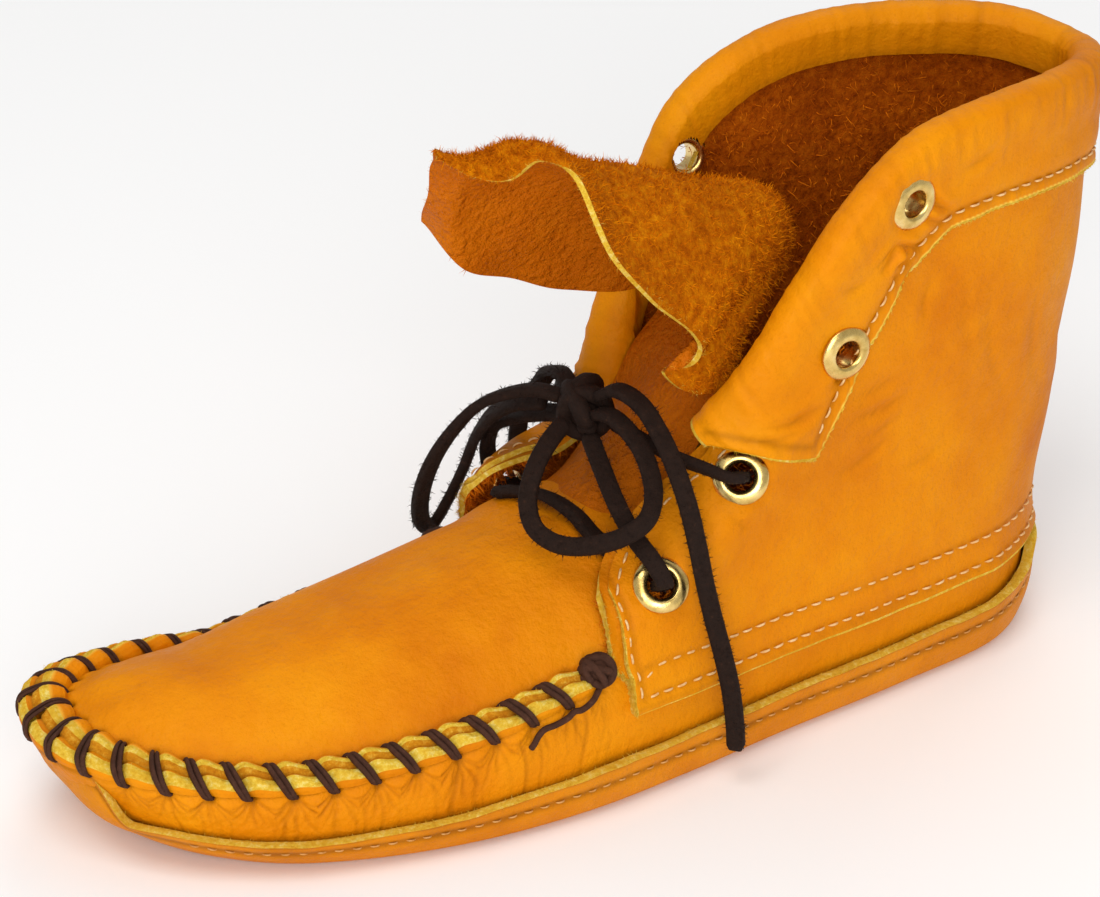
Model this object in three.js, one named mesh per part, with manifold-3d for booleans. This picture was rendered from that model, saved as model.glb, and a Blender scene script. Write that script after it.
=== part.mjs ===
// Mukluk boot for the left foot: a soft ankle-high moccasin boot of smooth leather.
// Millimetres, +X to the toe, +Y to the outer side of the foot, +Z up.
// The origin is on the floor at the middle of the sole's length.
import * as THREE from 'three';
import { mergeVertices } from 'three/addons/utils/BufferGeometryUtils.js';
import Module from 'manifold-3d';

const wasm = await Module();
wasm.setup();

// Driving sizes
const shoeLength = 270;
const ballWidth = 93;
const shaftHeight = 152;
const shaftWidth = 70;
const seamHeight = 40;
const instepHeight = 62;
const leather = 2;
const soleLeather = 2.2;
const soleThickness = 3.5;
const soleGap = 0.9;
const soleBevel = 1.4;
const floorBand = 16;
const insoleThickness = 3;
const insoleGap = 0.8;
const insoleBand = 14;
const quarterLift = 1.8;
const quarterEdgeHeight = 24;
const quarterLap = 9;
const gap = 0.4;
const ridgeHeight = 5.4;
const ridgeWidth = 4.8;
const ridgeLipHeight = 3.4;
const ridgeStep = 2.6;
const cuffLeather = 1.8;
const cuffEdgeRound = 0.8;
const cuffCrown = 0.5;
const cuffStandOff = 0.7;
const cuffCornerLift = 2.2;
const cuffDepth = 24.5;
const cuffInnerDepth = 9;
const eyeletHole = 6.6;
const eyeletWall = 0.5;
const eyeletFlange = 13.4;
const eyeletWasher = 11.4;
const eyeletRise = 1.1;
const eyeletBrass = 0.8;
const boreReach = 4.5;
const tongueWidth = 60;
const laceWidth = 4.6;
const laceInside = 4.5;
const riseMouth = 5.5;
const crossMouth = 5;

// How finely the forms are divided
const outlineSteps = 24;
const shaftSteps = 24;
const shaftRows = 8;
const joinTolerance = 0.03;

// Plan of the sole seen from above: along the length from the heel, and across, positive outward
const soleOutline = [
  { place: 'tip', along: 1.000, across: -0.150 },
  { place: 'toe, outer', along: 0.992, across: 0.010 },
  { place: 'toe corner, outer', along: 0.950, across: 0.175 },
  { place: 'little toe', along: 0.878, across: 0.320 },
  { place: 'ball front, outer', along: 0.788, across: 0.425 },
  { place: 'ball, outer', along: 0.685, across: 0.490 },
  { place: 'joint, outer', along: 0.575, across: 0.510 },
  { place: 'waist front, outer', along: 0.463, across: 0.484 },
  { place: 'waist, outer', along: 0.350, across: 0.440 },
  { place: 'heel front, outer', along: 0.215, across: 0.398 },
  { place: 'heel side, outer', along: 0.085, across: 0.330 },
  { place: 'heel corner, outer', along: 0.020, across: 0.180 },
  { place: 'heel back', along: 0.000, across: 0.000 },
  { place: 'heel corner, inner', along: 0.020, across: -0.180 },
  { place: 'heel side, inner', along: 0.085, across: -0.325 },
  { place: 'heel front, inner', along: 0.205, across: -0.358 },
  { place: 'waist, inner', along: 0.335, across: -0.368 },
  { place: 'waist front, inner', along: 0.463, across: -0.400 },
  { place: 'joint, inner', along: 0.593, across: -0.450 },
  { place: 'ball, inner', along: 0.722, across: -0.492 },
  { place: 'big toe side', along: 0.845, across: -0.480 },
  { place: 'big toe corner', along: 0.935, across: -0.415 },
  { place: 'toe, inner', along: 0.985, across: -0.300 },
];
const tipIndex = 0;
const heelIndex = 12;

// The wall between floor and toe seam, by place along the length. The seam's height is a share of
// the full height, insets are shares of the ball's width: inset at the seam, least where the wall
// stands out most, at the height share widest, and tread at the floor. Overhang is how far the
// raised seam stands out beyond the wall.
const wallSections = [
  { along: 0.00, seam: 1.000, inset: 0.050, least: 0.028, widest: 0.45, tread: 0.060, overhang: 0.000 },
  { along: 0.06, seam: 1.000, inset: 0.055, least: 0.028, widest: 0.42, tread: 0.056, overhang: 0.000 },
  { along: 0.30, seam: 1.000, inset: 0.068, least: 0.028, widest: 0.40, tread: 0.055, overhang: 0.000 },
  { along: 0.48, seam: 0.930, inset: 0.080, least: 0.028, widest: 0.38, tread: 0.055, overhang: 0.003 },
  { along: 0.56, seam: 0.810, inset: 0.064, least: 0.028, widest: 0.38, tread: 0.055, overhang: 0.003 },
  { along: 0.70, seam: 0.640, inset: 0.057, least: 0.028, widest: 0.42, tread: 0.062, overhang: 0.003 },
  { along: 0.82, seam: 0.545, inset: 0.056, least: 0.028, widest: 0.48, tread: 0.085, overhang: 0.004 },
  { along: 0.90, seam: 0.565, inset: 0.058, least: 0.036, widest: 0.58, tread: 0.120, overhang: 0.014 },
  { along: 0.96, seam: 0.630, inset: 0.062, least: 0.052, widest: 0.74, tread: 0.150, overhang: 0.036 },
  { along: 1.00, seam: 0.690, inset: 0.064, least: 0.062, widest: 0.86, tread: 0.165, overhang: 0.056 },
];
const innerSeamLift = 3.6;

// Height of the sole's underside above the floor, as shares of the seam's height
const springLine = [
  { along: 0.00, rise: 0.000 },
  { along: 0.82, rise: 0.000 },
  { along: 0.88, rise: 0.022 },
  { along: 0.93, rise: 0.085 },
  { along: 0.97, rise: 0.170 },
  { along: 1.00, rise: 0.240 },
];

// Height of the foot's middle line over the forefoot, as shares of the instep's height
const domeLine = [
  { along: 0.36, top: 1.10 },
  { along: 0.45, top: 0.98 },
  { along: 0.49, top: 0.94 },
  { along: 0.53, top: 0.925 },
  { along: 0.56, top: 0.890 },
  { along: 0.61, top: 0.835 },
  { along: 0.70, top: 0.735 },
  { along: 0.78, top: 0.665 },
  { along: 0.86, top: 0.620 },
  { along: 1.00, top: 0.600 },
];
const domeEnd = 0.855;

// The quarters and shaft, from the throat round to the back seam. Each section climbs from the
// quarter's lower edge, by a middle and a high point, to the throat edge or rim. Along is a share
// of the length, half of the shaft's half width, up of the shaft's height. The inner side's throat
// is laid open: its edge is lower by drop and wider by spread. Above straightFrom, a share of the
// shaft's height, the shaft no longer follows the sole's curve.
const shaftSections = [
  { foot: 0.516, mid: [0.524, 1.115, 0.240], high: [0.530, 1.045, 0.292], top: [0.534, 0.930, 0.330] },
  { foot: 0.498, mid: [0.498, 1.100, 0.262], high: [0.500, 1.035, 0.325], top: [0.518, 0.720, 0.361] },
  { foot: 0.472, mid: [0.468, 1.080, 0.275], high: [0.464, 1.040, 0.360], top: [0.483, 0.570, 0.402] },
  { foot: 0.446, mid: [0.438, 1.060, 0.293], high: [0.430, 1.035, 0.405], top: [0.446, 0.550, 0.445] },
  { foot: 0.418, mid: [0.407, 1.040, 0.315], high: [0.394, 1.040, 0.465], top: [0.408, 0.730, 0.530] },
  { foot: 0.380, mid: [0.368, 1.015, 0.342], high: [0.350, 1.040, 0.550], top: [0.376, 0.920, 0.648] },
  { foot: 0.336, mid: [0.324, 0.995, 0.368], high: [0.302, 1.030, 0.630], top: [0.338, 1.020, 0.768] },
  { foot: 0.284, mid: [0.272, 0.970, 0.382], high: [0.250, 1.015, 0.680], top: [0.292, 1.090, 0.885] },
  { foot: 0.224, mid: [0.212, 0.940, 0.395], high: [0.192, 0.985, 0.705], top: [0.220, 1.040, 0.970] },
  { foot: 0.158, mid: [0.146, 0.890, 0.395], high: [0.128, 0.950, 0.705], top: [0.134, 0.975, 0.992] },
  { foot: 0.090, mid: [0.077, 0.790, 0.395], high: [0.059, 0.850, 0.700], top: [0.054, 0.810, 0.986] },
  { foot: 0.034, mid: [0.018, 0.520, 0.395], high: [0.000, 0.570, 0.695], top: [-0.014, 0.510, 0.972] },
  { foot: 0.006, mid: [-0.013, 0.000, 0.395], high: [-0.028, 0.000, 0.685], top: [-0.047, 0.000, 0.952] },
];
const innerThroat = [
  { drop: 0.000, spread: 0.00 },
  { drop: -0.013, spread: 0.06 },
  { drop: 0.020, spread: 0.20 },
  { drop: 0.063, spread: 0.20 },
  { drop: 0.110, spread: 0.06 },
  { drop: 0.070, spread: 0.00 },
  { drop: 0.020, spread: 0.00 },
  { drop: 0.003, spread: 0.00 },
  { drop: 0.008, spread: 0.00 },
  { drop: 0.010, spread: 0.00 },
  { drop: 0.008, spread: 0.00 },
  { drop: 0.003, spread: 0.00 },
  { drop: 0.000, spread: 0.00 },
];
const straightFrom = 0.493;
const throatStart = 0.4926;
const cuffFirstSection = 4;
const cuffEndSlope = 0.30;

// Eyelets by their place seen from the side, from the top one down
const eyeletPlaces = [
  { name: 'outer_1', side: 1, along: 0.234, up: 0.890 },
  { name: 'outer_2', side: 1, along: 0.297, up: 0.660 },
  { name: 'outer_3', side: 1, along: 0.396, up: 0.481 },
  { name: 'outer_4', side: 1, along: 0.483, up: 0.342 },
  { name: 'inner_1', side: -1, along: 0.292, up: 0.800 },
  { name: 'inner_2', side: -1, along: 0.318, up: 0.620 },
  { name: 'inner_3', side: -1, along: 0.385, up: 0.345 },
  { name: 'inner_4', side: -1, along: 0.474, up: 0.290 },
];

// The tongue from its root in the throat, back and up to the fold, and forward to its end.
// Each row has the outer edge, the crest and the inner edge: along the length, across as a share
// of the tongue's width, up as a share of the shaft's height.
const tongueRows = [
  { outer: [0.488, 0.400, 0.296], crest: [0.488, 0.000, 0.378], inner: [0.488, -0.400, 0.296] },
  { outer: [0.455, 0.360, 0.340], crest: [0.452, 0.000, 0.420], inner: [0.455, -0.360, 0.340] },
  { outer: [0.420, 0.280, 0.420], crest: [0.405, 0.020, 0.515], inner: [0.412, -0.360, 0.430] },
  { outer: [0.394, 0.290, 0.520], crest: [0.340, 0.040, 0.625], inner: [0.370, -0.390, 0.530] },
  { outer: [0.380, 0.330, 0.600], crest: [0.274, 0.050, 0.735], inner: [0.325, -0.410, 0.610] },
  { outer: [0.398, 0.380, 0.655], crest: [0.280, 0.000, 0.815], inner: [0.330, -0.410, 0.630] },
  { outer: [0.432, 0.400, 0.715], crest: [0.356, -0.040, 0.876], inner: [0.380, -0.430, 0.632] },
  { outer: [0.478, 0.380, 0.815], crest: [0.440, -0.080, 0.920], inner: [0.434, -0.480, 0.648] },
  { outer: [0.512, 0.290, 0.935], crest: [0.505, -0.110, 0.965], inner: [0.486, -0.480, 0.688] },
  { outer: [0.552, 0.120, 0.955], crest: [0.556, -0.140, 0.978], inner: [0.544, -0.440, 0.745] },
  { outer: [0.590, -0.080, 0.965], crest: [0.592, -0.170, 0.955], inner: [0.578, -0.360, 0.825] },
];

// The lace. The knot and the bar lie on the instep: along the length, across as a share of the
// ball's width, up as a share of the instep's height.
const knotPlace = { along: 0.4704, across: -0.0323, up: 1.2903 };
const knotSize = [8.5, 9.5, 6.5];
const barRoute = [
  { along: 0.5056, across: 0.172, up: 0.934 },
  { along: 0.5074, across: 0.108, up: 0.965 },
  { along: 0.5148, across: 0.000, up: 0.981 },
  { along: 0.5222, across: -0.108, up: 0.935 },
  { along: 0.5278, across: -0.194, up: 0.871 },
];
// Strands from an eyelet's mouth to the knot, by the share of the way and how many lace widths off it
const riseOuterRoute = [
  { share: 0.07, lift: [0.39, 0.22, 0.57] },
  { share: 0.23, lift: [0.78, 0.24, 0.57] },
  { share: 0.43, lift: [0.78, 0.13, 0.35] },
  { share: 0.66, lift: [0.50, -0.04, 0.09] },
  { share: 0.86, lift: [0.28, -0.04, -0.11] },
];
const riseInnerRoute = [
  { share: 0.13, lift: [0.46, -1.17, 1.04] },
  { share: 0.29, lift: [0.59, -1.46, 1.59] },
  { share: 0.51, lift: [0.54, -1.20, 1.30] },
  { share: 0.75, lift: [0.37, -0.65, 0.63] },
  { share: 0.91, lift: [0.20, -0.09, 0.09] },
];
const crossOuterRoute = [
  { share: 0.01, lift: [0.46, 0.24, 0.11] },
  { share: 0.15, lift: [0.70, 0.30, 0.20] },
  { share: 0.35, lift: [0.59, 0.26, 0.00] },
  { share: 0.60, lift: [0.20, 0.11, -0.15] },
  { share: 0.83, lift: [-0.02, 0.00, -0.04] },
];
const crossInnerRoute = [
  { share: 0.08, lift: [0.59, -1.17, 1.07] },
  { share: 0.23, lift: [0.57, -1.72, 1.76] },
  { share: 0.44, lift: [0.33, -1.35, 1.43] },
  { share: 0.66, lift: [-0.07, -0.30, 0.39] },
  { share: 0.86, lift: [-0.35, 0.26, -0.11] },
];
// Loops and ends of the bow, forward, outward and up from the knot
const loopOuterRoute = [
  [1.0, 7.0, 2.0], [0.0, 13.0, 3.5], [-1.0, 20.5, 1.5], [-0.5, 28.0, -2.0], [2.0, 35.0, -7.0],
  [6.5, 39.0, -10.5], [12.0, 37.5, -14.0], [18.0, 31.5, -17.5], [22.5, 25.5, -18.5], [25.0, 19.5, -16.5],
  [24.0, 14.5, -12.0], [20.0, 11.0, -6.0], [14.0, 7.5, -2.0], [7.5, 4.0, 0.0],
];
const loopInnerRoute = [
  [3.0, -4.0, 2.0], [7.0, -9.5, 2.5], [11.5, -15.5, 0.2], [16.2, -22.0, -4.9], [20.5, -28.0, -14.0],
  [23.0, -33.5, -24.5], [23.0, -39.0, -36.5], [20.0, -43.5, -46.0], [15.5, -46.5, -49.5],
  [11.0, -46.0, -43.0], [8.5, -42.5, -33.0], [8.2, -37.5, -23.0], [8.3, -29.0, -12.6], [7.2, -19.0, -5.0],
  [4.5, -10.0, -1.5],
];
const endOuterRoute = [
  [-1.0, 5.0, 5.0], [-2.5, 11.0, 9.0], [-4.0, 19.0, 8.5], [-4.0, 28.0, 4.5], [-3.0, 36.5, -0.5],
  [-2.5, 43.0, -7.5], [-3.0, 46.5, -16.5], [-4.0, 48.5, -26.0], [-5.5, 50.0, -35.0], [-7.0, 52.0, -44.0],
  [-8.2, 54.0, -53.5], [-8.8, 55.2, -63.0], [-9.0, 55.4, -69.0],
];
const endInnerRoute = [
  [-1.0, -7.0, 2.0], [-2.5, -14.0, 2.5], [-4.5, -23.0, -1.5], [-6.0, -31.0, -9.5], [-6.0, -38.0, -18.0],
  [-6.5, -42.0, -28.5], [-7.5, -44.0, -39.5], [-8.5, -45.0, -50.0], [-9.0, -45.0, -60.0],
  [-9.0, -44.5, -69.0],
];
const freeSteps = 17;
const heldSteps = 9;

// Numbers and curves

function clamp(value, low, high) {
  return Math.min(high, Math.max(low, value));
}

function lerp(a, b, share) {
  return a + (b - a) * share;
}

function ease(edgeA, edgeB, value) {
  const share = clamp((value - edgeA) / (edgeB - edgeA), 0, 1);
  return share * share * (3 - 2 * share);
}

// A smooth value between the rows of a table, looked up by place along the length
function tableValue(rows, along, column) {
  const place = clamp(along, rows[0].along, rows[rows.length - 1].along);
  let row = 0;
  while (row < rows.length - 2 && rows[row + 1].along < place) row += 1;
  const slope = (k) => {
    const before = rows[Math.max(k - 1, 0)];
    const after = rows[Math.min(k + 1, rows.length - 1)];
    return (after[column] - before[column]) / (after.along - before.along);
  };
  const a = rows[row];
  const b = rows[row + 1];
  const span = b.along - a.along;
  const s = (place - a.along) / span;
  const s2 = s * s;
  const s3 = s2 * s;
  return (2 * s3 - 3 * s2 + 1) * a[column] + (s3 - 2 * s2 + s) * span * slope(row)
    + (-2 * s3 + 3 * s2) * b[column] + (s3 - s2) * span * slope(row + 1);
}

function smoothCurve(points, closed = false) {
  return new THREE.CatmullRomCurve3(points, closed, 'centripetal');
}

// The outline as a curve, read as (side, share) with share 0 at the tip and 1 at the heel's back
const outlineCurve = smoothCurve(
  soleOutline.map((row) => new THREE.Vector3(row.along * shoeLength, row.across * ballWidth, 0)), true);
outlineCurve.arcLengthDivisions = 800;
const outlineLengths = outlineCurve.getLengths();
const heelShare = outlineLengths[Math.round(800 * (heelIndex - tipIndex) / soleOutline.length)]
  / outlineLengths[800];

function outlinePoint(side, share) {
  const u = side > 0 ? share * heelShare : 1 - share * (1 - heelShare);
  const point = outlineCurve.getPointAt(u % 1);
  const tangent = outlineCurve.getTangentAt(u % 1);
  return { x: point.x, y: point.y, inX: -tangent.y, inY: tangent.x };
}

// The sign that makes the in direction point inward, found once at the widest place
const inwardSign = outlinePoint(1, 0.5).inY > 0 ? -1 : 1;

function springAt(x) {
  return Math.max(0, tableValue(springLine, x / shoeLength, 'rise')) * seamHeight;
}

function seamAt(side, share) {
  const lift = side < 0 ? innerSeamLift * Math.sin(Math.PI * Math.min(share / 0.24, 1)) : 0;
  return tableValue(wallSections, outlinePoint(side, share).x / shoeLength, 'seam') * seamHeight + lift;
}

// Height of the wall's lower edge, on the upper face of the sole
function wallFoot(side, share) {
  const base = outlinePoint(side, share);
  const tread = tableValue(wallSections, base.x / shoeLength, 'tread') * ballWidth;
  return soleThickness + springAt(base.x + base.inX * inwardSign * tread);
}

// The side wall of the foot: up 0 to 1 climbs from the tread to the toe seam
function wallPoint(side, share, up, out = 0) {
  const base = outlinePoint(side, share);
  const along = base.x / shoeLength;
  const inset = tableValue(wallSections, along, 'inset') * ballWidth;
  const widest = tableValue(wallSections, along, 'widest');
  const tread = tableValue(wallSections, along, 'tread') * ballWidth;
  const least = tableValue(wallSections, along, 'least') * ballWidth;
  const below = Math.max(0, (widest - up) / widest);
  const above = Math.max(0, (up - widest) / (1 - widest));
  const inward = least + (tread - least) * below ** 3.5 + (inset - least) * above ** 2.2;
  return new THREE.Vector3(
    base.x + base.inX * inwardSign * (inward - out),
    base.y + base.inY * inwardSign * (inward - out),
    lerp(wallFoot(side, share), seamAt(side, share), up));
}

// The raised seam fades out behind the place where its thread is knotted
const ridgeEnd = 0.545;
const ridgeFade = 0.025;

function ridgeShare(side, share) {
  return ease(ridgeEnd - ridgeFade, ridgeEnd + ridgeFade, outlinePoint(side, share).x / shoeLength);
}

// A point of the foot's middle line under which the two sides meet
function middlePoint(share) {
  const outer = outlinePoint(1, share);
  const inner = outlinePoint(-1, share);
  const x = (outer.x + inner.x) / 2;
  const limit = domeEnd * shoeLength;
  return new THREE.Vector3(Math.min(x, limit + (x - limit) * 0.08), (outer.y + inner.y) * 0.15, 0);
}

// The plug over the toes and instep, a step below the raised seam: reach 1 there, 0 on the middle line
function domePoint(side, share, reach) {
  const ridge = ridgeShare(side, share);
  const edge = wallPoint(side, share, 1, -(ridgeWidth + 0.3) * ridge);
  edge.z += (ridgeHeight - ridgeStep) * ridge;
  const middle = middlePoint(share);
  const top = tableValue(domeLine, middle.x / shoeLength, 'top') * instepHeight;
  const arch = (1 - reach * reach) ** 0.9;
  return new THREE.Vector3(
    lerp(middle.x, edge.x, reach), lerp(middle.y, edge.y, reach), lerp(edge.z, top, arch));
}

// Solids from rings and grids of points

function geometryFrom(positions, triangles) {
  const geometry = new THREE.BufferGeometry();
  const values = positions.flatMap((p) => [p.x, p.y, p.z]);
  geometry.setAttribute('position', new THREE.Float32BufferAttribute(values, 3));
  geometry.setIndex(triangles);
  return geometry;
}

// A body from rings of equal count, each running from the tip by the outer side to the heel and
// back. Its first and last ring are closed by rungs from the outer side to the inner.
function ringSolid(rings) {
  const count = rings[0].length;
  const half = count / 2;
  const triangles = [];
  for (let k = 0; k + 1 < rings.length; k += 1) {
    for (let i = 0; i < count; i += 1) {
      const j = (i + 1) % count;
      const a = k * count + i;
      const b = k * count + j;
      const c = (k + 1) * count + j;
      const d = (k + 1) * count + i;
      triangles.push(a, b, c, a, c, d);
    }
  }
  const rung = (offset, flip) => {
    for (let i = 0; i < half; i += 1) {
      const a = offset + i;
      const b = offset + i + 1;
      const c = offset + (count - i - 1) % count;
      const d = offset + (count - i) % count;
      const faces = i === 0 ? [[a, b, c]] : i === half - 1 ? [[a, b, d]] : [[a, b, c], [a, c, d]];
      faces.forEach(([p, q, r]) => (flip ? triangles.push(p, r, q) : triangles.push(p, q, r)));
    }
  };
  rung(0, true);
  rung((rings.length - 1) * count, false);
  return solidFrom(geometryFrom(rings.flat(), triangles));
}

// A closed shell between an outer and an inner grid of the same size
function gridShell(outer, inner) {
  const rows = outer.length;
  const columns = outer[0].length;
  const offset = rows * columns;
  const at = (r, c) => r * columns + c;
  const triangles = [];
  const quad = (a, b, c, d) => triangles.push(a, b, c, a, c, d);
  for (let r = 0; r + 1 < rows; r += 1) {
    for (let c = 0; c + 1 < columns; c += 1) {
      quad(at(r, c), at(r, c + 1), at(r + 1, c + 1), at(r + 1, c));
      quad(offset + at(r, c), offset + at(r + 1, c), offset + at(r + 1, c + 1), offset + at(r, c + 1));
    }
  }
  for (let c = 0; c + 1 < columns; c += 1) {
    quad(at(0, c + 1), at(0, c), offset + at(0, c), offset + at(0, c + 1));
    quad(at(rows - 1, c), at(rows - 1, c + 1), offset + at(rows - 1, c + 1), offset + at(rows - 1, c));
  }
  for (let r = 0; r + 1 < rows; r += 1) {
    quad(at(r, 0), at(r + 1, 0), offset + at(r + 1, 0), offset + at(r, 0));
    const end = columns - 1;
    quad(at(r + 1, end), at(r, end), offset + at(r, end), offset + at(r + 1, end));
  }
  return solidFrom(geometryFrom([...outer.flat(), ...inner.flat()], triangles));
}

// A closed section swept through a list of sections, with flat ends
function sectionSolid(sections) {
  const count = sections[0].length;
  const triangles = [];
  for (let k = 0; k + 1 < sections.length; k += 1) {
    for (let i = 0; i < count; i += 1) {
      const j = (i + 1) % count;
      triangles.push(k * count + i, k * count + j, (k + 1) * count + j);
      triangles.push(k * count + i, (k + 1) * count + j, (k + 1) * count + i);
    }
  }
  const last = (sections.length - 1) * count;
  const half = count / 2;
  for (let i = 0; i + 1 < half; i += 1) {
    const j = count - 1 - i;
    triangles.push(i, j, i + 1, i + 1, j, j - 1);
    triangles.push(last + i, last + i + 1, last + j, last + i + 1, last + j - 1, last + j);
  }
  return solidFrom(geometryFrom(sections.flat(), triangles));
}

// A manifold solid from a geometry, turned right side out if its faces point in
function solidFrom(source) {
  let geometry = source;
  geometry.deleteAttribute('normal');
  geometry.deleteAttribute('uv');
  geometry = mergeVertices(geometry, 1e-4);
  const place = geometry.attributes.position.array;
  const faces = [];
  const index = geometry.index.array;
  let volume = 0;
  for (let f = 0; f < index.length; f += 3) {
    const [a, b, c] = [index[f], index[f + 1], index[f + 2]];
    if (a === b || b === c || c === a) continue;
    faces.push(a, b, c);
    volume += place[3 * a] * (place[3 * b + 1] * place[3 * c + 2] - place[3 * b + 2] * place[3 * c + 1])
      - place[3 * a + 1] * (place[3 * b] * place[3 * c + 2] - place[3 * b + 2] * place[3 * c])
      + place[3 * a + 2] * (place[3 * b] * place[3 * c + 1] - place[3 * b + 1] * place[3 * c]);
  }
  if (volume < 0) faces.reverse();
  return new wasm.Manifold(new wasm.Mesh({
    numProp: 3, vertProperties: Float32Array.from(place), triVerts: Uint32Array.from(faces) }));
}

// A drawable geometry of a solid, with slivers left by cutting joined
function geometryOf(solid) {
  const mesh = solid.simplify(joinTolerance).getMesh();
  const geometry = new THREE.BufferGeometry();
  geometry.setAttribute('position', new THREE.BufferAttribute(Float32Array.from(mesh.vertProperties), 3));
  geometry.setIndex(new THREE.BufferAttribute(Uint32Array.from(mesh.triVerts), 1));
  geometry.computeVertexNormals();
  return geometry;
}

function boxSolid(low, high) {
  const box = new THREE.BoxGeometry(high[0] - low[0], high[1] - low[1], high[2] - low[2]);
  box.translate((low[0] + high[0]) / 2, (low[1] + high[1]) / 2, (low[2] + high[2]) / 2);
  return solidFrom(box);
}

// Shares round the outline, closer together at toe and heel
function outlineShare(index) {
  const even = index / outlineSteps;
  return even - Math.sin(2 * Math.PI * even) * 0.045;
}

// One ring of points round the outline, made by a function of side and share
function outlineRing(pointAt) {
  const ring = [];
  for (let i = 0; i <= outlineSteps; i += 1) ring.push(pointAt(1, outlineShare(i)));
  for (let i = outlineSteps - 1; i > 0; i -= 1) ring.push(pointAt(-1, outlineShare(i)));
  return ring;
}

// Foot form: side wall, raised seam and plug as one closed body, moved in by a wall's thickness

const outerLevels = [0.06, 0.15, 0.35, 0.6, 0.82, 1];
const outerReaches = [1, 0.93, 0.82, 0.62, 0.4, 0.18];
const innerLevels = [0, 0.15, 0.45, 1];
const innerReaches = [0.93, 0.7, 0.3];

function footForm(inward, withRidge) {
  const rings = [];
  const drop = inward > 0 ? soleThickness : -gap;
  rings.push(outlineRing((side, share) => {
    const point = wallPoint(side, share, 0, -inward);
    point.z -= drop;
    return point;
  }));
  const levels = inward > 0 ? innerLevels : outerLevels;
  levels.forEach((up) => {
    rings.push(outlineRing((side, share) => {
      const point = wallPoint(side, share, up, -inward);
      point.z -= inward * up ** 2;
      return point;
    }));
  });
  if (withRidge) {
    const ridgeLip = (out, rise, hang) => outlineRing((side, share) => {
      const ridge = ridgeShare(side, share);
      const along = outlinePoint(side, share).x / shoeLength;
      const overhang = tableValue(wallSections, along, 'overhang') * ballWidth;
      const point = wallPoint(side, share, 1, (out + overhang * hang) * ridge);
      point.z += rise * ridge + 0.02;
      return point;
    });
    rings.push(ridgeLip(0, 0.4, 1), ridgeLip(0, ridgeLipHeight, 1), ridgeLip(-ridgeWidth, ridgeHeight, 0));
  }
  (inward > 0 ? innerReaches : outerReaches).forEach((reach) => {
    rings.push(outlineRing((side, share) => {
      const point = domePoint(side, share, reach);
      const middle = middlePoint(share);
      const shrink = inward * reach;
      const away = new THREE.Vector2(point.x - middle.x, point.y - middle.y);
      const length = Math.max(away.length(), 1);
      return new THREE.Vector3(
        point.x - away.x / length * shrink, point.y - away.y / length * shrink, point.z - inward);
    }));
  });
  return ringSolid(rings);
}

// Shaft: the outer surface of the quarters and shaft, from one throat edge round to the other

function shareAtPlace(side, x) {
  let low = 0.05;
  let high = 1;
  for (let step = 0; step < 40; step += 1) {
    const middle = (low + high) / 2;
    if (outlinePoint(side, middle).x > x) low = middle;
    else high = middle;
  }
  return (low + high) / 2;
}

function quarterFoot(side, along, height) {
  const share = shareAtPlace(side, along * shoeLength);
  const bottom = wallFoot(side, share);
  return wallPoint(side, share, (height - bottom) / (seamAt(side, share) - bottom), quarterLift);
}

// A point of a section; much is how far the laying open of the inner throat reaches it
function shaftPlace(side, [along, half, up], index, much) {
  const open = side < 0 ? much : 0;
  const x = along * shoeLength;
  const z = (up - innerThroat[index].drop * open) * shaftHeight;
  const width = (half + innerThroat[index].spread * open) * shaftWidth / 2;
  const share = shareAtPlace(1, Math.max(x, 1));
  const sway = (outlinePoint(1, share).y + outlinePoint(-1, share).y) / 2;
  const curved = clamp(1 - z / (straightFrom * shaftHeight), 0, 1);
  return new THREE.Vector3(x, side * width + sway * curved, z);
}

const shaftLines = [
  (side, index) => quarterFoot(side, shaftSections[index].foot, quarterEdgeHeight),
  (side, index) => quarterFoot(side, shaftSections[index].foot, quarterEdgeHeight + quarterLap),
  (side, index) => shaftPlace(side, shaftSections[index].mid, index, 0.1),
  (side, index) => shaftPlace(side, shaftSections[index].high, index, 0.6),
  (side, index) => shaftPlace(side, shaftSections[index].top, index, 1),
].map((make) => {
  const outer = shaftSections.map((row, index) => make(1, index));
  const inner = shaftSections.map((row, index) => make(-1, index)).slice(0, -1).reverse();
  return smoothCurve([...outer, ...inner]);
});
const shaftColumnCount = 2 * shaftSections.length - 2;

// round: 0 at the outer throat edge, 0.5 at the back seam, 1 at the inner throat edge
function shaftColumn(round) {
  return smoothCurve(shaftLines.map((line) => line.getPoint(round)));
}

const shaftColumnCache = new Map();

function shaftPoint(round, up) {
  const key = round.toFixed(6);
  if (!shaftColumnCache.has(key)) shaftColumnCache.set(key, shaftColumn(round));
  return shaftColumnCache.get(key).getPointAt(clamp(up, 0, 1));
}

function shaftNormal(round, up) {
  const step = 0.004;
  const across = shaftPoint(Math.min(round + step, 1), up).sub(shaftPoint(Math.max(round - step, 0), up));
  const climb = shaftPoint(round, Math.min(up + step, 1)).sub(shaftPoint(round, Math.max(up - step, 0)));
  return climb.cross(across).normalize();
}

const outwardSign = shaftNormal(0.25, 0.5).y > 0 ? 1 : -1;

function shaftOffset(round, up, out) {
  return shaftPoint(round, up).addScaledVector(shaftNormal(round, up), outwardSign * out);
}

function shaftSolid() {
  const rounds = [];
  for (let i = 0; i <= 2 * shaftSteps; i += 1) rounds.push(i / (2 * shaftSteps));
  const rows = [];
  for (let j = 0; j <= shaftRows; j += 1) rows.push(j / shaftRows);
  const grid = (out) => rows.map((up) => rounds.map((round) => shaftOffset(round, up, out)));
  return gridShell(grid(0), grid(-leather));
}

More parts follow.
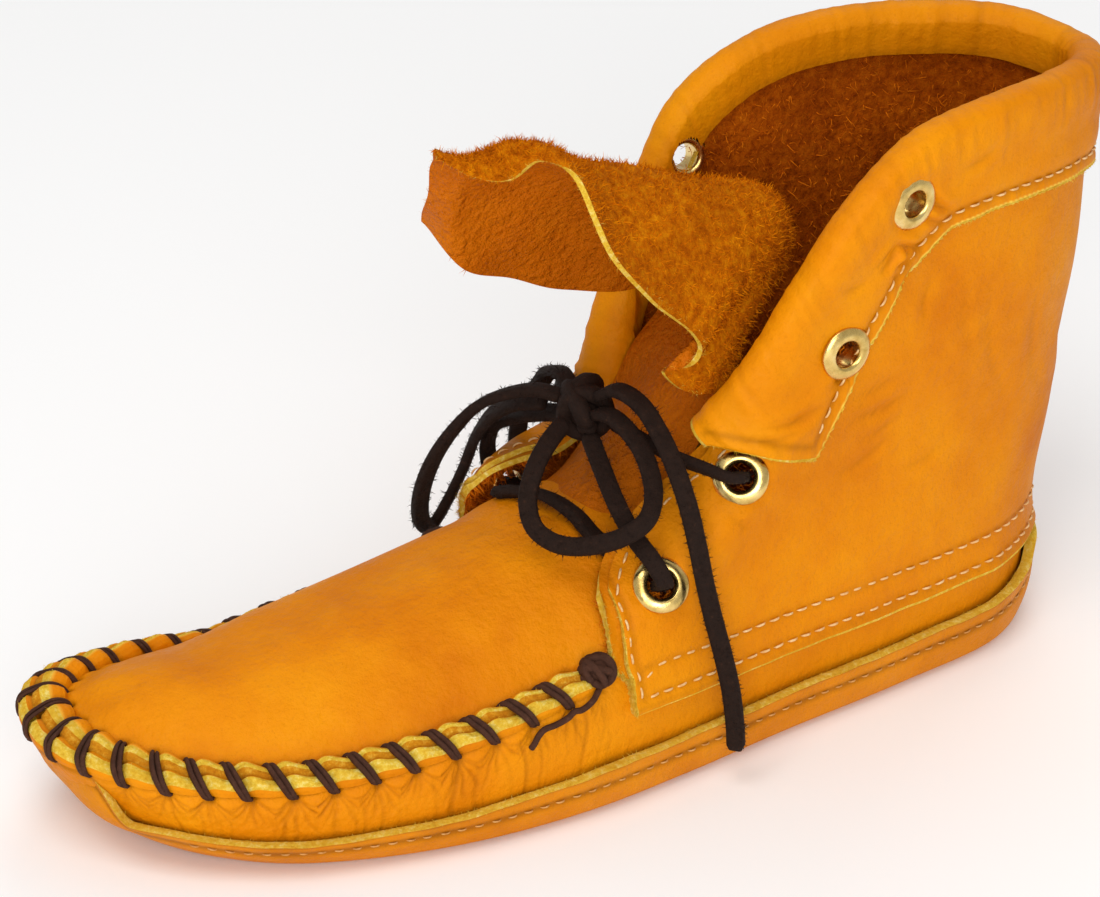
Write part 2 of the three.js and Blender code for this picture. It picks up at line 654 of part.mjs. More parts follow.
// Where on the shaft a place seen from the side lies
function onShaft(side, along, up) {
  const target = new THREE.Vector2(along * shoeLength, up * shaftHeight);
  let best = { round: 0.2, up: 0.5 };
  let span = 0.5;
  let centre = { round: side > 0 ? 0.22 : 0.78, up: 0.5 };
  for (let pass = 0; pass < 7; pass += 1) {
    let least = Infinity;
    for (let i = -6; i <= 6; i += 1) {
      for (let j = -6; j <= 6; j += 1) {
        const round = clamp(centre.round + i / 6 * span * 0.44, side > 0 ? 0 : 0.5, side > 0 ? 0.5 : 1);
        const height = clamp(centre.up + j / 6 * span, 0, 1);
        const point = shaftPoint(round, height);
        const distance = Math.hypot(point.x - target.x, point.z - target.y);
        if (distance < least) {
          least = distance;
          best = { round, up: height };
        }
      }
    }
    centre = best;
    span *= 0.35;
  }
  return best;
}

// Cuff: a band folded over the rim and down both front edges

const cuffStart = cuffFirstSection / shaftColumnCount;
const cuffEnd = 1 - cuffStart - 0.5 / shaftSteps;

// How far up a column the band of the given depth reaches down
function bandFoot(round, depth) {
  const side = round < 0.5 ? 1 : -1;
  const corner = shaftPoint(side > 0 ? cuffStart : cuffEnd, 1);
  const rim = cuffRim;
  for (let up = 0.985; up > 0; up -= 0.01) {
    const point = shaftPoint(round, up);
    const nearest = Math.min(...rim.map((edge) => edge.distanceTo(point)));
    const floor = corner.z - (corner.x - point.x) * cuffEndSlope;
    const inFront = point.x > corner.x - cuffDepth * 1.25;
    if (nearest > depth || (inFront && point.z < floor)) return up;
  }
  return 0;
}

const cuffRim = [];
for (let i = 0; i <= 60; i += 1) {
  cuffRim.push(shaftPoint(lerp(cuffStart, cuffEnd, i / 60), 1));
}

// The cuff lies on the shaft, and its front corners stand off a little more
function standOff(round) {
  const fromEnd = Math.min(round - cuffStart, cuffEnd - round);
  return cuffStandOff + cuffCornerLift * (1 - ease(0, 0.06, fromEnd));
}

function cuffSection(round) {
  const outerFoot = Math.min(bandFoot(round, cuffDepth), 0.97);
  const innerFoot = Math.min(bandFoot(round, cuffInnerDepth), 0.97);
  const near = standOff(round);
  const far = near + cuffLeather;
  const shell = leather + near;
  const top = shaftPoint(round, 1);
  const climb = top.clone().sub(shaftPoint(round, 0.97)).normalize();
  const lip = (out, rise) => shaftOffset(round, 1, out).addScaledVector(climb, rise);
  const outerSteps = [0, 0.25, 0.5, 0.75, 1];
  const innerSteps = [1, 0];
  const half = leather / 2;
  const outside = [
    ...outerSteps.map((s) => shaftOffset(round, lerp(outerFoot, 1, s), far)),
    lip(far - cuffEdgeRound, near + cuffLeather * 0.75),
    lip(-half, far + cuffCrown),
    lip(-leather - far + cuffEdgeRound, near + cuffLeather * 0.75),
    ...innerSteps.map((s) => shaftOffset(round, lerp(innerFoot, 1, s), -leather - far)),
  ];
  const inside = [
    ...innerSteps.slice().reverse().map((s) => shaftOffset(round, lerp(innerFoot, 1, s), -shell)),
    lip(-shell, near),
    lip(-half, near),
    lip(near, near),
    ...outerSteps.slice().reverse().map((s) => shaftOffset(round, lerp(outerFoot, 1, s), near)),
  ];
  return [...outside, ...inside];
}

function cuffSolid() {
  const first = Math.round(cuffStart * 2 * shaftSteps);
  const last = Math.round(cuffEnd * 2 * shaftSteps);
  const sections = [];
  for (let i = first; i <= last; i += 1) {
    sections.push(cuffSection(i / (2 * shaftSteps)));
  }
  return sectionSolid(sections);
}

// Eyelets: a turned brass ring with an outer flange, a barrel and a washer inside

const eyelets = eyeletPlaces.map((row) => {
  const spot = onShaft(row.side, row.along, row.up);
  const cuffed = row.name.endsWith('1') || row.name.endsWith('2');
  const lined = cuffed && insideCuffed(spot);
  return {
    name: `eyelet_${row.name}`,
    centre: shaftPoint(spot.round, spot.up),
    normal: shaftNormal(spot.round, spot.up).multiplyScalar(outwardSign),
    face: cuffed ? standOff(spot.round) + cuffLeather : 0,
    back: -leather - (lined ? standOff(spot.round) + cuffLeather : 0),
  };
});

function insideCuffed(spot) {
  return spot.up > bandFoot(spot.round, cuffInnerDepth);
}

function alongNormal(eyelet, geometry) {
  const turn = new THREE.Quaternion().setFromUnitVectors(new THREE.Vector3(0, 1, 0), eyelet.normal);
  geometry.applyQuaternion(turn);
  geometry.translate(eyelet.centre.x, eyelet.centre.y, eyelet.centre.z);
  return geometry;
}

function eyeletSolid(eyelet) {
  const bore = eyeletHole / 2;
  const flange = eyeletFlange / 2;
  const washer = eyeletWasher / 2;
  const top = eyelet.face + gap;
  const bottom = eyelet.back - gap;
  const profile = [
    [bore, bottom - eyeletBrass], [bore + 0.6, top + eyeletRise], [flange - 0.5, top + 0.7], [flange, top],
    [bore + eyeletWall, top], [bore + eyeletWall, bottom], [washer, bottom],
    [washer - 0.3, bottom - eyeletBrass], [bore, bottom - eyeletBrass],
  ].map(([radius, height]) => new THREE.Vector2(radius, height));
  return solidFrom(alongNormal(eyelet, new THREE.LatheGeometry(profile, 9)));
}

// The hole for an eyelet, with a flat seat for its flange and for its washer
function eyeletBore(eyelet) {
  const bore = eyeletHole / 2 + eyeletWall + gap;
  const flange = eyeletFlange / 2 + gap;
  const washer = eyeletWasher / 2 + gap;
  const profile = [
    [0, eyelet.back - boreReach], [washer, eyelet.back - boreReach], [washer, eyelet.back + 0.05],
    [bore, eyelet.back + 0.05], [bore, eyelet.face - 0.05], [flange, eyelet.face - 0.05],
    [flange, eyelet.face + boreReach], [0, eyelet.face + boreReach],
  ].map(([radius, height]) => new THREE.Vector2(radius, height));
  return solidFrom(alongNormal(eyelet, new THREE.LatheGeometry(profile, 12)));
}

// Sole: a cup of leather turned up round the foot, higher behind the heel and at the toe

const soleEdge = [
  { along: 0.00, rise: 0.575 },
  { along: 0.02, rise: 0.54 },
  { along: 0.05, rise: 0.42 },
  { along: 0.10, rise: 0.37 },
  { along: 0.40, rise: 0.345 },
  { along: 0.56, rise: 0.33 },
  { along: 0.72, rise: 0.27 },
  { along: 0.86, rise: 0.26 },
  { along: 0.93, rise: 0.32 },
];
const soleToeRise = 0.93;
const soleToeStart = 0.925;
const soleToeFull = 0.978;

function soleEdgeShare(side, share) {
  const along = outlinePoint(side, share).x / shoeLength;
  const bottom = wallFoot(side, share);
  const rise = tableValue(soleEdge, along, 'rise') * seamHeight;
  const low = (rise - bottom) / (seamAt(side, share) - bottom);
  return lerp(clamp(low, 0.12, 0.9), soleToeRise, ease(soleToeStart, soleToeFull, along));
}

function soleSolid() {
  const floorRing = (extra, height) => outlineRing((side, share) => {
    const point = wallPoint(side, share, 0, -extra);
    point.z = springAt(point.x) + height;
    return point;
  });
  const skin = (level, out) => outlineRing((side, share) => {
    const point = wallPoint(side, share, soleEdgeShare(side, share) * level, out);
    point.z -= (out - soleGap) * 0.75 * (1 - level) ** 4;
    return point;
  });
  const outside = [0, 0.12, 0.3, 0.6, 1].map((level) => skin(level, soleGap + soleLeather));
  const inside = [1, 0.7, 0.42, 0.2, 0.08, 0].map((level) => skin(level, soleGap));
  return ringSolid([
    floorRing(floorBand, 0), floorRing(soleBevel, 0), ...outside, ...inside,
    floorRing(floorBand, soleThickness),
  ]);
}

// Insole: a flat layer on the sole, inside the upper

function insoleSolid() {
  const inset = leather + gap + insoleGap;
  const layer = (height, extra) => outlineRing((side, share) => {
    const bottom = wallFoot(side, share);
    const up = height / (seamAt(side, share) - bottom);
    const point = wallPoint(side, share, up, -inset - extra);
    point.z = soleThickness + gap + height + springAt(point.x);
    return point;
  });
  const thick = insoleThickness;
  return ringSolid([layer(0, insoleBand), layer(0, gap / 2), layer(thick, 0), layer(thick, insoleBand)]);
}

// Tongue: a wide strip that rises from the throat and flops forward over the laces

function tonguePoint([along, across, up]) {
  return new THREE.Vector3(along * shoeLength, across * tongueWidth, up * shaftHeight);
}

const tongueLines = ['outer', 'crest', 'inner'].map(
  (column) => smoothCurve(tongueRows.map((row) => tonguePoint(row[column]))));

function tongueAt(across, down) {
  const [outer, crest, inner] = tongueLines.map((line) => line.getPoint(down));
  const bulge = crest.clone().multiplyScalar(2).sub(outer.clone().add(inner).multiplyScalar(0.5));
  const curve = new THREE.QuadraticBezierCurve3(outer, bulge, inner);
  return curve.getPoint(across);
}

function tongueNormal(across, down) {
  const step = 0.01;
  const along = tongueAt(across, Math.min(down + step, 1)).sub(tongueAt(across, Math.max(down - step, 0)));
  const side = tongueAt(Math.min(across + step, 1), down).sub(tongueAt(Math.max(across - step, 0), down));
  return along.cross(side).normalize();
}

function tongueSolid() {
  const rows = [];
  for (let j = 0; j <= 18; j += 1) rows.push(j / 18);
  const columns = [];
  for (let i = 0; i <= 7; i += 1) columns.push(i / 7);
  const grid = (out) => rows.map((down) => columns.map(
    (across) => tongueAt(across, down).addScaledVector(tongueNormal(across, down), out)));
  return gridShell(grid(leather / 2), grid(-leather / 2));
}

// Lace: eight-sided strands along a route

function onInstep({ along, across, up }) {
  return new THREE.Vector3(along * shoeLength, across * ballWidth, up * instepHeight);
}

const knotMiddle = onInstep(knotPlace);

function strand(points, steps) {
  const shape = new THREE.Shape();
  for (let i = 0; i < 8; i += 1) {
    const angle = Math.PI / 4 * i + Math.PI / 8;
    const corner = [Math.cos(angle) * laceWidth / 2, Math.sin(angle) * laceWidth / 2];
    if (i === 0) shape.moveTo(...corner);
    else shape.lineTo(...corner);
  }
  const extrudePath = smoothCurve(points);
  return solidFrom(new THREE.ExtrudeGeometry(shape, { steps, bevelEnabled: false, extrudePath }));
}

// Points through an eyelet along its bore, from inside to its mouth, and on to the knot
function fromEyelet(name, mouth, route) {
  const eyelet = eyelets.find((one) => one.name === `eyelet_${name}`);
  const bore = [-laceInside, -laceInside * 0.3, mouth * 0.3, mouth].map(
    (distance) => eyelet.centre.clone().addScaledVector(eyelet.normal, distance));
  const way = route.map(
    ({ share, lift }) => bore[3].clone().lerp(knotMiddle, share)
      .addScaledVector(new THREE.Vector3(...lift), laceWidth));
  return [...bore, ...way];
}

function fromKnot(route) {
  return route.map((offset) => new THREE.Vector3(...offset).add(knotMiddle));
}

function knotSolid(grow) {
  const ball = new THREE.SphereGeometry(1, 12, 8);
  ball.scale(knotSize[0] + grow, knotSize[1] + grow, knotSize[2] + grow);
  ball.translate(knotMiddle.x, knotMiddle.y, knotMiddle.z);
  return solidFrom(ball);
}

// The bar over the instep, the strands from the lower eyelets and those from the next ones
function heldLace() {
  return {
    lace_bar: barRoute.map(onInstep),
    lace_rise_outer: fromEyelet('outer_4', riseMouth, riseOuterRoute),
    lace_rise_inner: fromEyelet('inner_4', riseMouth, riseInnerRoute),
    lace_cross_outer: fromEyelet('outer_3', crossMouth, crossOuterRoute),
    lace_cross_inner: fromEyelet('inner_3', crossMouth, crossInnerRoute),
  };
}

// Assembly

function color(hex, roughness, metalness = 0) {
  return new THREE.MeshStandardMaterial({ color: hex, roughness, metalness });
}

const materials = {
  leather: color(0xe8960c, 0.6),
  sole: color(0xe09010, 0.65),
  suede: color(0xb4661a, 0.95),
  lace: color(0x2d1e1c, 0.9),
  brass: color(0xcdb05a, 0.3, 1),
};

const boot = new THREE.Group();
boot.position.x = -shoeLength / 2;

function place(name, solid, material) {
  const mesh = new THREE.Mesh(geometryOf(solid), material);
  mesh.name = name;
  boot.add(mesh);
}

const far = 400;
const rearOpening = boxSolid(
  [-far, -far, quarterEdgeHeight + quarterLap + 1], [throatStart * shoeLength, far, far]);
const foot = footForm(0, true).subtract(footForm(leather, false)).subtract(rearOpening);
let upper = foot.add(shaftSolid());
let cuff = cuffSolid();
eyelets.forEach((eyelet) => {
  const bore = eyeletBore(eyelet);
  upper = upper.subtract(bore);
  cuff = cuff.subtract(bore);
});

place('sole', soleSolid(), materials.sole);
place('insole', insoleSolid(), materials.suede);
place('upper', upper, materials.leather);
place('cuff', cuff, materials.leather);
place('tongue', tongueSolid(), materials.leather);
eyelets.forEach((eyelet) => place(eyelet.name, eyeletSolid(eyelet), materials.brass));

const clearing = knotSolid(gap);
Object.entries(heldLace()).forEach(([name, route]) => {
  place(name, strand(route, heldSteps).subtract(clearing), materials.lace);
});
place('lace_knot', knotSolid(0), materials.lace);
place('lace_loop_outer', strand(fromKnot(loopOuterRoute), freeSteps).subtract(clearing), materials.lace);
place('lace_loop_inner', strand(fromKnot(loopInnerRoute), freeSteps).subtract(clearing), materials.lace);
place('lace_end_outer', strand(fromKnot(endOuterRoute), freeSteps).subtract(clearing), materials.lace);
place('lace_end_inner', strand(fromKnot(endInnerRoute), freeSteps).subtract(clearing), materials.lace);

export default boot;
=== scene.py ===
# Mukluk boot for the left foot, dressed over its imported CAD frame.
# Tables and sizes are in millimetres, x from the heel's back to the toe, y to the outer side, z up.
# They are turned into the frame's metres where a mesh is made. In the formulas for relief and shade,
# typed numbers are millimetres of depth or width, shares from 0 to 1, and the seeds of waves.
import math

import bpy
import numpy as np
from mathutils import Matrix, Vector


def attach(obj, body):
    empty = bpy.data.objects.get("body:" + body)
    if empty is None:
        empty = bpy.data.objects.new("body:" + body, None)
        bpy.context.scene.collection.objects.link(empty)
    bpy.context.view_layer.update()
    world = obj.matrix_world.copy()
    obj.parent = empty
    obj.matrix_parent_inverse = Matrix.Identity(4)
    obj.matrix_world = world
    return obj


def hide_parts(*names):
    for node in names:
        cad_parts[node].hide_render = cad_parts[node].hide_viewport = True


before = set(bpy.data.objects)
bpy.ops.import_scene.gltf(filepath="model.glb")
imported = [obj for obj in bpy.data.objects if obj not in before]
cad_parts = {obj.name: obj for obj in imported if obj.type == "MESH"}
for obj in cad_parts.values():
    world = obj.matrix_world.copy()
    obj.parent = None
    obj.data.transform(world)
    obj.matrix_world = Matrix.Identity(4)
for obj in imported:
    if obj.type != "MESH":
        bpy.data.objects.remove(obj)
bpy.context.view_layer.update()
rng = np.random.default_rng(7)

# Driving sizes
shoe_length = 270.0
ball_width = 93.0
shaft_height = 152.0
shaft_width = 70.0
seam_height = 40.0
instep_height = 62.0
leather = 2.0
sole_thickness = 3.5
sole_gap = 0.9
sole_leather = 2.2
quarter_lift = 1.8
quarter_edge_height = 24.0
quarter_lap = 9.0
ridge_height = 5.4
ridge_width = 4.8
ridge_step = 2.6
cuff_leather = 1.8
cuff_stand_off = 0.7
cuff_corner_lift = 2.2
cuff_depth = 24.5
cuff_inner_depth = 9.0
lace_width = 4.7
whip_pitch = 10.0
tongue_width = 60.0

# Camera, in millimetres from the middle of the sole's length
camera_aim = np.array([-10.0, -21.6, 60.0])
camera_yaw = math.radians(31.0)
camera_rise = math.radians(28.0)
camera_distance = 1100.0
camera_lens = 147.6

# Plan of the sole from the tip by the outer side to the heel and back by the inner side
outline_along = [
    1.000, 0.992, 0.950, 0.878, 0.788, 0.685, 0.575, 0.463, 0.350, 0.215, 0.085, 0.020, 0.000,
    0.020, 0.085, 0.205, 0.335, 0.463, 0.593, 0.722, 0.845, 0.935, 0.985,
]
outline_across = [
    -0.150, 0.010, 0.175, 0.320, 0.425, 0.490, 0.510, 0.484, 0.440, 0.398, 0.330, 0.180, 0.000,
    -0.180, -0.325, -0.358, -0.368, -0.400, -0.450, -0.492, -0.480, -0.415, -0.300,
]
outline_heel = 12

# Side wall by place along the length: seam height and spring as shares of the seam's height,
# insets, tread and overhang as shares of the ball's width
wall_sections = {
    "along": [0.00, 0.06, 0.30, 0.48, 0.56, 0.70, 0.82, 0.90, 0.96, 1.00],
    "seam": [1.000, 1.000, 1.000, 0.930, 0.810, 0.640, 0.545, 0.565, 0.630, 0.690],
    "inset": [0.050, 0.055, 0.068, 0.080, 0.064, 0.057, 0.056, 0.058, 0.062, 0.064],
    "least": [0.028, 0.028, 0.028, 0.028, 0.028, 0.028, 0.028, 0.036, 0.052, 0.062],
    "widest": [0.45, 0.42, 0.40, 0.38, 0.38, 0.42, 0.48, 0.58, 0.74, 0.86],
    "tread": [0.060, 0.056, 0.055, 0.055, 0.055, 0.062, 0.085, 0.120, 0.150, 0.165],
    "overhang": [0.000, 0.000, 0.000, 0.003, 0.003, 0.003, 0.004, 0.014, 0.036, 0.056],
}
inner_seam_lift = 3.6
spring_line = {
    "along": [0.00, 0.82, 0.88, 0.93, 0.97, 1.00],
    "rise": [0.000, 0.000, 0.022, 0.085, 0.170, 0.240],
}
dome_line = {
    "along": [0.36, 0.45, 0.49, 0.53, 0.56, 0.61, 0.70, 0.78, 0.86, 1.00],
    "top": [1.10, 0.98, 0.94, 0.925, 0.890, 0.835, 0.735, 0.665, 0.620, 0.600],
}
dome_end = 0.855
ridge_end = 0.545
ridge_fade = 0.025

# Quarters and shaft from the throat to the back: along as shares of the length, half widths as
# shares of half the shaft's width, heights as shares of the shaft's height
shaft_foot = [0.516, 0.498, 0.472, 0.446, 0.418, 0.380, 0.336, 0.284, 0.224, 0.158, 0.090, 0.034, 0.006]
shaft_middle = [
    (0.524, 1.115, 0.240), (0.498, 1.100, 0.262), (0.468, 1.080, 0.275), (0.438, 1.060, 0.293),
    (0.407, 1.040, 0.315), (0.368, 1.015, 0.342), (0.324, 0.995, 0.368), (0.272, 0.970, 0.382),
    (0.212, 0.940, 0.395), (0.146, 0.890, 0.395), (0.077, 0.790, 0.395), (0.018, 0.520, 0.395),
    (-0.013, 0.000, 0.395),
]
shaft_high = [
    (0.530, 1.045, 0.292), (0.500, 1.035, 0.325), (0.464, 1.040, 0.360), (0.430, 1.035, 0.405),
    (0.394, 1.040, 0.465), (0.350, 1.040, 0.550), (0.302, 1.030, 0.630), (0.250, 1.015, 0.680),
    (0.192, 0.985, 0.705), (0.128, 0.950, 0.705), (0.059, 0.850, 0.700), (0.000, 0.570, 0.695),
    (-0.028, 0.000, 0.685),
]
shaft_top = [
    (0.534, 0.930, 0.330), (0.518, 0.720, 0.361), (0.483, 0.570, 0.402), (0.446, 0.550, 0.445),
    (0.408, 0.730, 0.530), (0.376, 0.920, 0.648), (0.338, 1.020, 0.768), (0.292, 1.090, 0.885),
    (0.220, 1.040, 0.970), (0.134, 0.975, 0.992), (0.054, 0.810, 0.986), (-0.014, 0.510, 0.972),
    (-0.047, 0.000, 0.952),
]
throat_drop = [0.0, -0.013, 0.020, 0.063, 0.110, 0.070, 0.020, 0.003, 0.008, 0.010, 0.008, 0.003, 0.0]
throat_spread = [0.0, 0.06, 0.20, 0.20, 0.06, 0.0, 0.0, 0.0, 0.0, 0.0, 0.0, 0.0, 0.0]
straight_from = 0.493
cuff_first_section = 4
cuff_end_slope = 0.30

# Eyelets seen from the side: outer or inner side, along, up
eyelet_places = [
    ("outer_1", 1, 0.234, 0.890), ("outer_2", 1, 0.297, 0.660), ("outer_3", 1, 0.396, 0.481),
    ("outer_4", 1, 0.483, 0.342), ("inner_1", -1, 0.292, 0.800), ("inner_2", -1, 0.318, 0.620),
    ("inner_3", -1, 0.385, 0.345), ("inner_4", -1, 0.474, 0.290),
]
eyelet_hole = 6.6
eyelet_flange = 13.4

# The tongue's rows from its root to its end: crest and inner edge
tongue_crest = [
    (0.488, 0.000, 0.378), (0.452, 0.000, 0.420), (0.405, 0.020, 0.515), (0.340, 0.040, 0.625),
    (0.274, 0.050, 0.735), (0.280, 0.000, 0.815), (0.356, -0.040, 0.876), (0.440, -0.080, 0.920),
    (0.505, -0.110, 0.965), (0.556, -0.140, 0.978), (0.592, -0.170, 0.955),
]
tongue_inner = [
    (0.488, -0.400, 0.296), (0.455, -0.360, 0.340), (0.412, -0.360, 0.430), (0.370, -0.390, 0.530),
    (0.325, -0.410, 0.610), (0.330, -0.410, 0.630), (0.380, -0.430, 0.632), (0.434, -0.480, 0.648),
    (0.486, -0.480, 0.688), (0.544, -0.440, 0.745), (0.578, -0.360, 0.825),
]

# The lace. The knot and the bar lie on the instep: along the length, across as a share of the
# ball's width, up as a share of the instep's height.
on_instep = np.array([shoe_length, ball_width, instep_height])
knot_place = np.array([0.4704, -0.0323, 1.2903]) * on_instep
bar_route = np.array([
    (0.5056, 0.172, 0.934), (0.5074, 0.108, 0.965), (0.5148, 0.000, 0.981),
    (0.5222, -0.108, 0.935), (0.5278, -0.194, 0.871),
]) * on_instep
# Strands from an eyelet's mouth to the knot: share of the way, and lace widths off it
rise_outer_route = [
    (0.07, (0.39, 0.22, 0.57)), (0.23, (0.78, 0.24, 0.57)), (0.43, (0.78, 0.13, 0.35)),
    (0.66, (0.50, -0.04, 0.09)), (0.86, (0.28, -0.04, -0.11)),
]
rise_inner_route = [
    (0.13, (0.46, -1.17, 1.04)), (0.29, (0.59, -1.46, 1.59)), (0.51, (0.54, -1.20, 1.30)),
    (0.75, (0.37, -0.65, 0.63)), (0.91, (0.20, -0.09, 0.09)),
]
cross_outer_route = [
    (0.01, (0.46, 0.24, 0.11)), (0.15, (0.70, 0.30, 0.20)), (0.35, (0.59, 0.26, 0.00)),
    (0.60, (0.20, 0.11, -0.15)), (0.83, (-0.02, 0.00, -0.04)),
]
cross_inner_route = [
    (0.08, (0.59, -1.17, 1.07)), (0.23, (0.57, -1.72, 1.76)), (0.44, (0.33, -1.35, 1.43)),
    (0.66, (-0.07, -0.30, 0.39)), (0.86, (-0.35, 0.26, -0.11)),
]
# Loops and ends of the bow, forward, outward and up from the knot
loop_outer_route = [
    (1.0, 7.0, 2.0), (0.0, 13.0, 3.5), (-1.0, 20.5, 1.5), (-0.5, 28.0, -2.0), (2.0, 35.0, -7.0),
    (6.5, 39.0, -10.5), (12.0, 37.5, -14.0), (18.0, 31.5, -17.5), (22.5, 25.5, -18.5), (25.0, 19.5, -16.5),
    (24.0, 14.5, -12.0), (20.0, 11.0, -6.0), (14.0, 7.5, -2.0), (7.5, 4.0, 0.0),
]
loop_inner_route = [
    (3.0, -4.0, 2.0), (7.0, -9.5, 2.5), (11.5, -15.5, 0.2), (16.2, -22.0, -4.9), (20.5, -28.0, -14.0),
    (23.0, -33.5, -24.5), (23.0, -39.0, -36.5), (20.0, -43.5, -46.0), (15.5, -46.5, -49.5),
    (11.0, -46.0, -43.0), (8.5, -42.5, -33.0), (8.2, -37.5, -23.0), (8.3, -29.0, -12.6), (7.2, -19.0, -5.0),
    (4.5, -10.0, -1.5),
]
end_outer_route = [
    (-1.0, 5.0, 5.0), (-2.5, 11.0, 9.0), (-4.0, 19.0, 8.5), (-4.0, 28.0, 4.5), (-3.0, 36.5, -0.5),
    (-2.5, 43.0, -7.5), (-3.0, 46.5, -16.5), (-4.0, 48.5, -26.0), (-5.5, 50.0, -35.0), (-7.0, 52.0, -44.0),
    (-8.2, 54.0, -53.5), (-8.8, 55.2, -63.0), (-9.0, 55.4, -69.0),
]
end_inner_route = [
    (-1.0, -7.0, 2.0), (-2.5, -14.0, 2.5), (-4.5, -23.0, -1.5), (-6.0, -31.0, -9.5), (-6.0, -38.0, -18.0),
    (-6.5, -42.0, -28.5), (-7.5, -44.0, -39.5), (-8.5, -45.0, -50.0), (-9.0, -45.0, -60.0),
    (-9.0, -44.5, -69.0),
]

# Shapes between the tables: where things end along the foot, how round a bend is, how many points
inner_lift_end = 0.24
far_side_along = (0.85, 0.76)
tread_roundness = 3.5
shoulder_roundness = 2.2
dome_roundness = 0.9
dome_creep = 0.08
dome_sway = 0.15
plug_gap = 0.3
outline_points = 3221
column_points = 160
middle_spread = 0.1
high_spread = 0.6
top_spread = 1.0


# Numbers and curves


def shares(count):
    return np.linspace(0, 1, count)


def ease(edge_a, edge_b, value):
    share = np.clip((value - edge_a) / (edge_b - edge_a), 0, 1)
    return share * share * (3 - 2 * share)


def hump(value, centre, width):
    return np.exp(-(((value - centre) / width) ** 2))


def length_of(vectors):
    return np.linalg.norm(vectors, axis=-1, keepdims=True)


def unit(vectors):
    return vectors / np.maximum(length_of(vectors), 1e-9)


def runs_of(points):
    """How far along a line each of its points lies."""
    return np.concatenate([[0], np.cumsum(length_of(np.diff(points, axis=0))[:, 0])])


def run_length(points):
    return float(length_of(np.diff(points, axis=0)).sum())


def read_line(at, runs, line):
    """A line's places or directions at some runs."""
    return np.stack([np.interp(at, runs, values) for values in line.T], -1)


def look_up(rows, column, along):
    """A smooth value between the rows of a table."""
    places = np.array(rows["along"])
    values = np.array(rows[column])
    slopes = np.empty_like(values)
    slopes[1:-1] = (values[2:] - values[:-2]) / (places[2:] - places[:-2])
    slopes[0] = (values[1] - values[0]) / (places[1] - places[0])
    slopes[-1] = (values[-1] - values[-2]) / (places[-1] - places[-2])
    place = np.clip(along, places[0], places[-1])
    k = np.clip(np.searchsorted(places, place) - 1, 0, len(places) - 2)
    span = places[k + 1] - places[k]
    s = (place - places[k]) / span
    first = (2 * s**3 - 3 * s**2 + 1) * values[k] + (s**3 - 2 * s**2 + s) * span * slopes[k]
    return first + (3 * s**2 - 2 * s**3) * values[k + 1] + (s**3 - s**2) * span * slopes[k + 1]


def curve_at(points, share, closed=False):
    """Centripetal curve through the points, read at shares from 0 to 1."""
    p = np.asarray(points, float)
    before, after = (p[-1:], p[:2]) if closed else (2 * p[:1] - p[1:2], 2 * p[-1:] - p[-2:-1])
    padded = np.vstack([before, p, after])
    spans = len(padded) - 3
    at = np.asarray(share, float) * spans
    k = np.clip(np.floor(at).astype(int), 0, spans - 1)
    w = (at - k)[..., None]
    p0, p1, p2, p3 = (padded[k + d] for d in range(4))
    d1 = np.maximum(np.sqrt(length_of(p2 - p1)), 1e-4)
    d0, d2 = (np.where(gap < 1e-6, d1, np.sqrt(gap)) for gap in (length_of(p1 - p0), length_of(p3 - p2)))
    t1 = ((p1 - p0) / d0 - (p2 - p0) / (d0 + d1) + (p2 - p1) / d1) * d1
    t2 = ((p2 - p1) / d1 - (p3 - p1) / (d1 + d2) + (p3 - p2) / d2) * d1
    return p1 + t1 * w + (3 * (p2 - p1) - 2 * t1 - t2) * w**2 + (2 * (p1 - p2) + t1 + t2) * w**3


def evenly(points, count):
    """The same line with points at even distances."""
    runs = runs_of(points)
    return read_line(np.linspace(0, runs[-1], count), runs, points)


def waves(value, pitch, seed, parts=3):
    """Smooth uneven waves of about one pitch, from minus one to one."""
    maker = np.random.default_rng(seed)
    total = 0
    for part in range(parts):
        scale = pitch * (0.7 + 0.6 * maker.random()) * 1.35 ** part
        total = total + np.sin(2 * math.pi * (value / scale + maker.random()))
    return total / parts


# The outline, read by s: 0 at the tip, 1 at the heel by the outer side, -1 by the inner side

outline_shares = shares(outline_points)
outline_line = curve_at(np.stack([
    np.array(outline_along) * shoe_length, np.array(outline_across) * ball_width,
    np.zeros(len(outline_along))], 1), outline_shares, closed=True)
outline_runs = runs_of(outline_line)
outline_length = outline_runs[-1]
outer_length = float(np.interp(outline_heel / len(outline_along), outline_shares, outline_runs))
inner_length = outline_length - outer_length
outline_tangent = unit(np.gradient(outline_line, axis=0))


def outline(s):
    """Place and inward direction on the outline, and the arc from the tip."""
    s = np.asarray(s, float)
    arc = np.where(s >= 0, s * outer_length, s * inner_length)
    at = np.mod(arc, outline_length)
    x, y = np.moveaxis(read_line(at, outline_runs, outline_line), -1, 0)[:2]
    tx, ty = np.moveaxis(read_line(at, outline_runs, outline_tangent), -1, 0)[:2]
    size = np.hypot(tx, ty)
    return x, y, -ty / size, tx / size, arc


def along_at(s):
    return outline(s)[0] / shoe_length


def arc_at(s):
    return outline(s)[4]


def s_at_arc(arc):
    return np.where(arc >= 0, arc / outer_length, arc / inner_length)


def spring_at(x):
    return np.maximum(0, look_up(spring_line, "rise", x / shoe_length)) * seam_height


def seam_at(s):
    lift = np.where(s < 0, inner_seam_lift * np.sin(math.pi * np.minimum(np.abs(s) / inner_lift_end, 1)), 0)
    return look_up(wall_sections, "seam", along_at(s)) * seam_height + lift


def wall_foot(s):
    x, y, in_x, in_y, arc = outline(s)
    tread = look_up(wall_sections, "tread", x / shoe_length) * ball_width
    return sole_thickness + spring_at(x + in_x * tread)


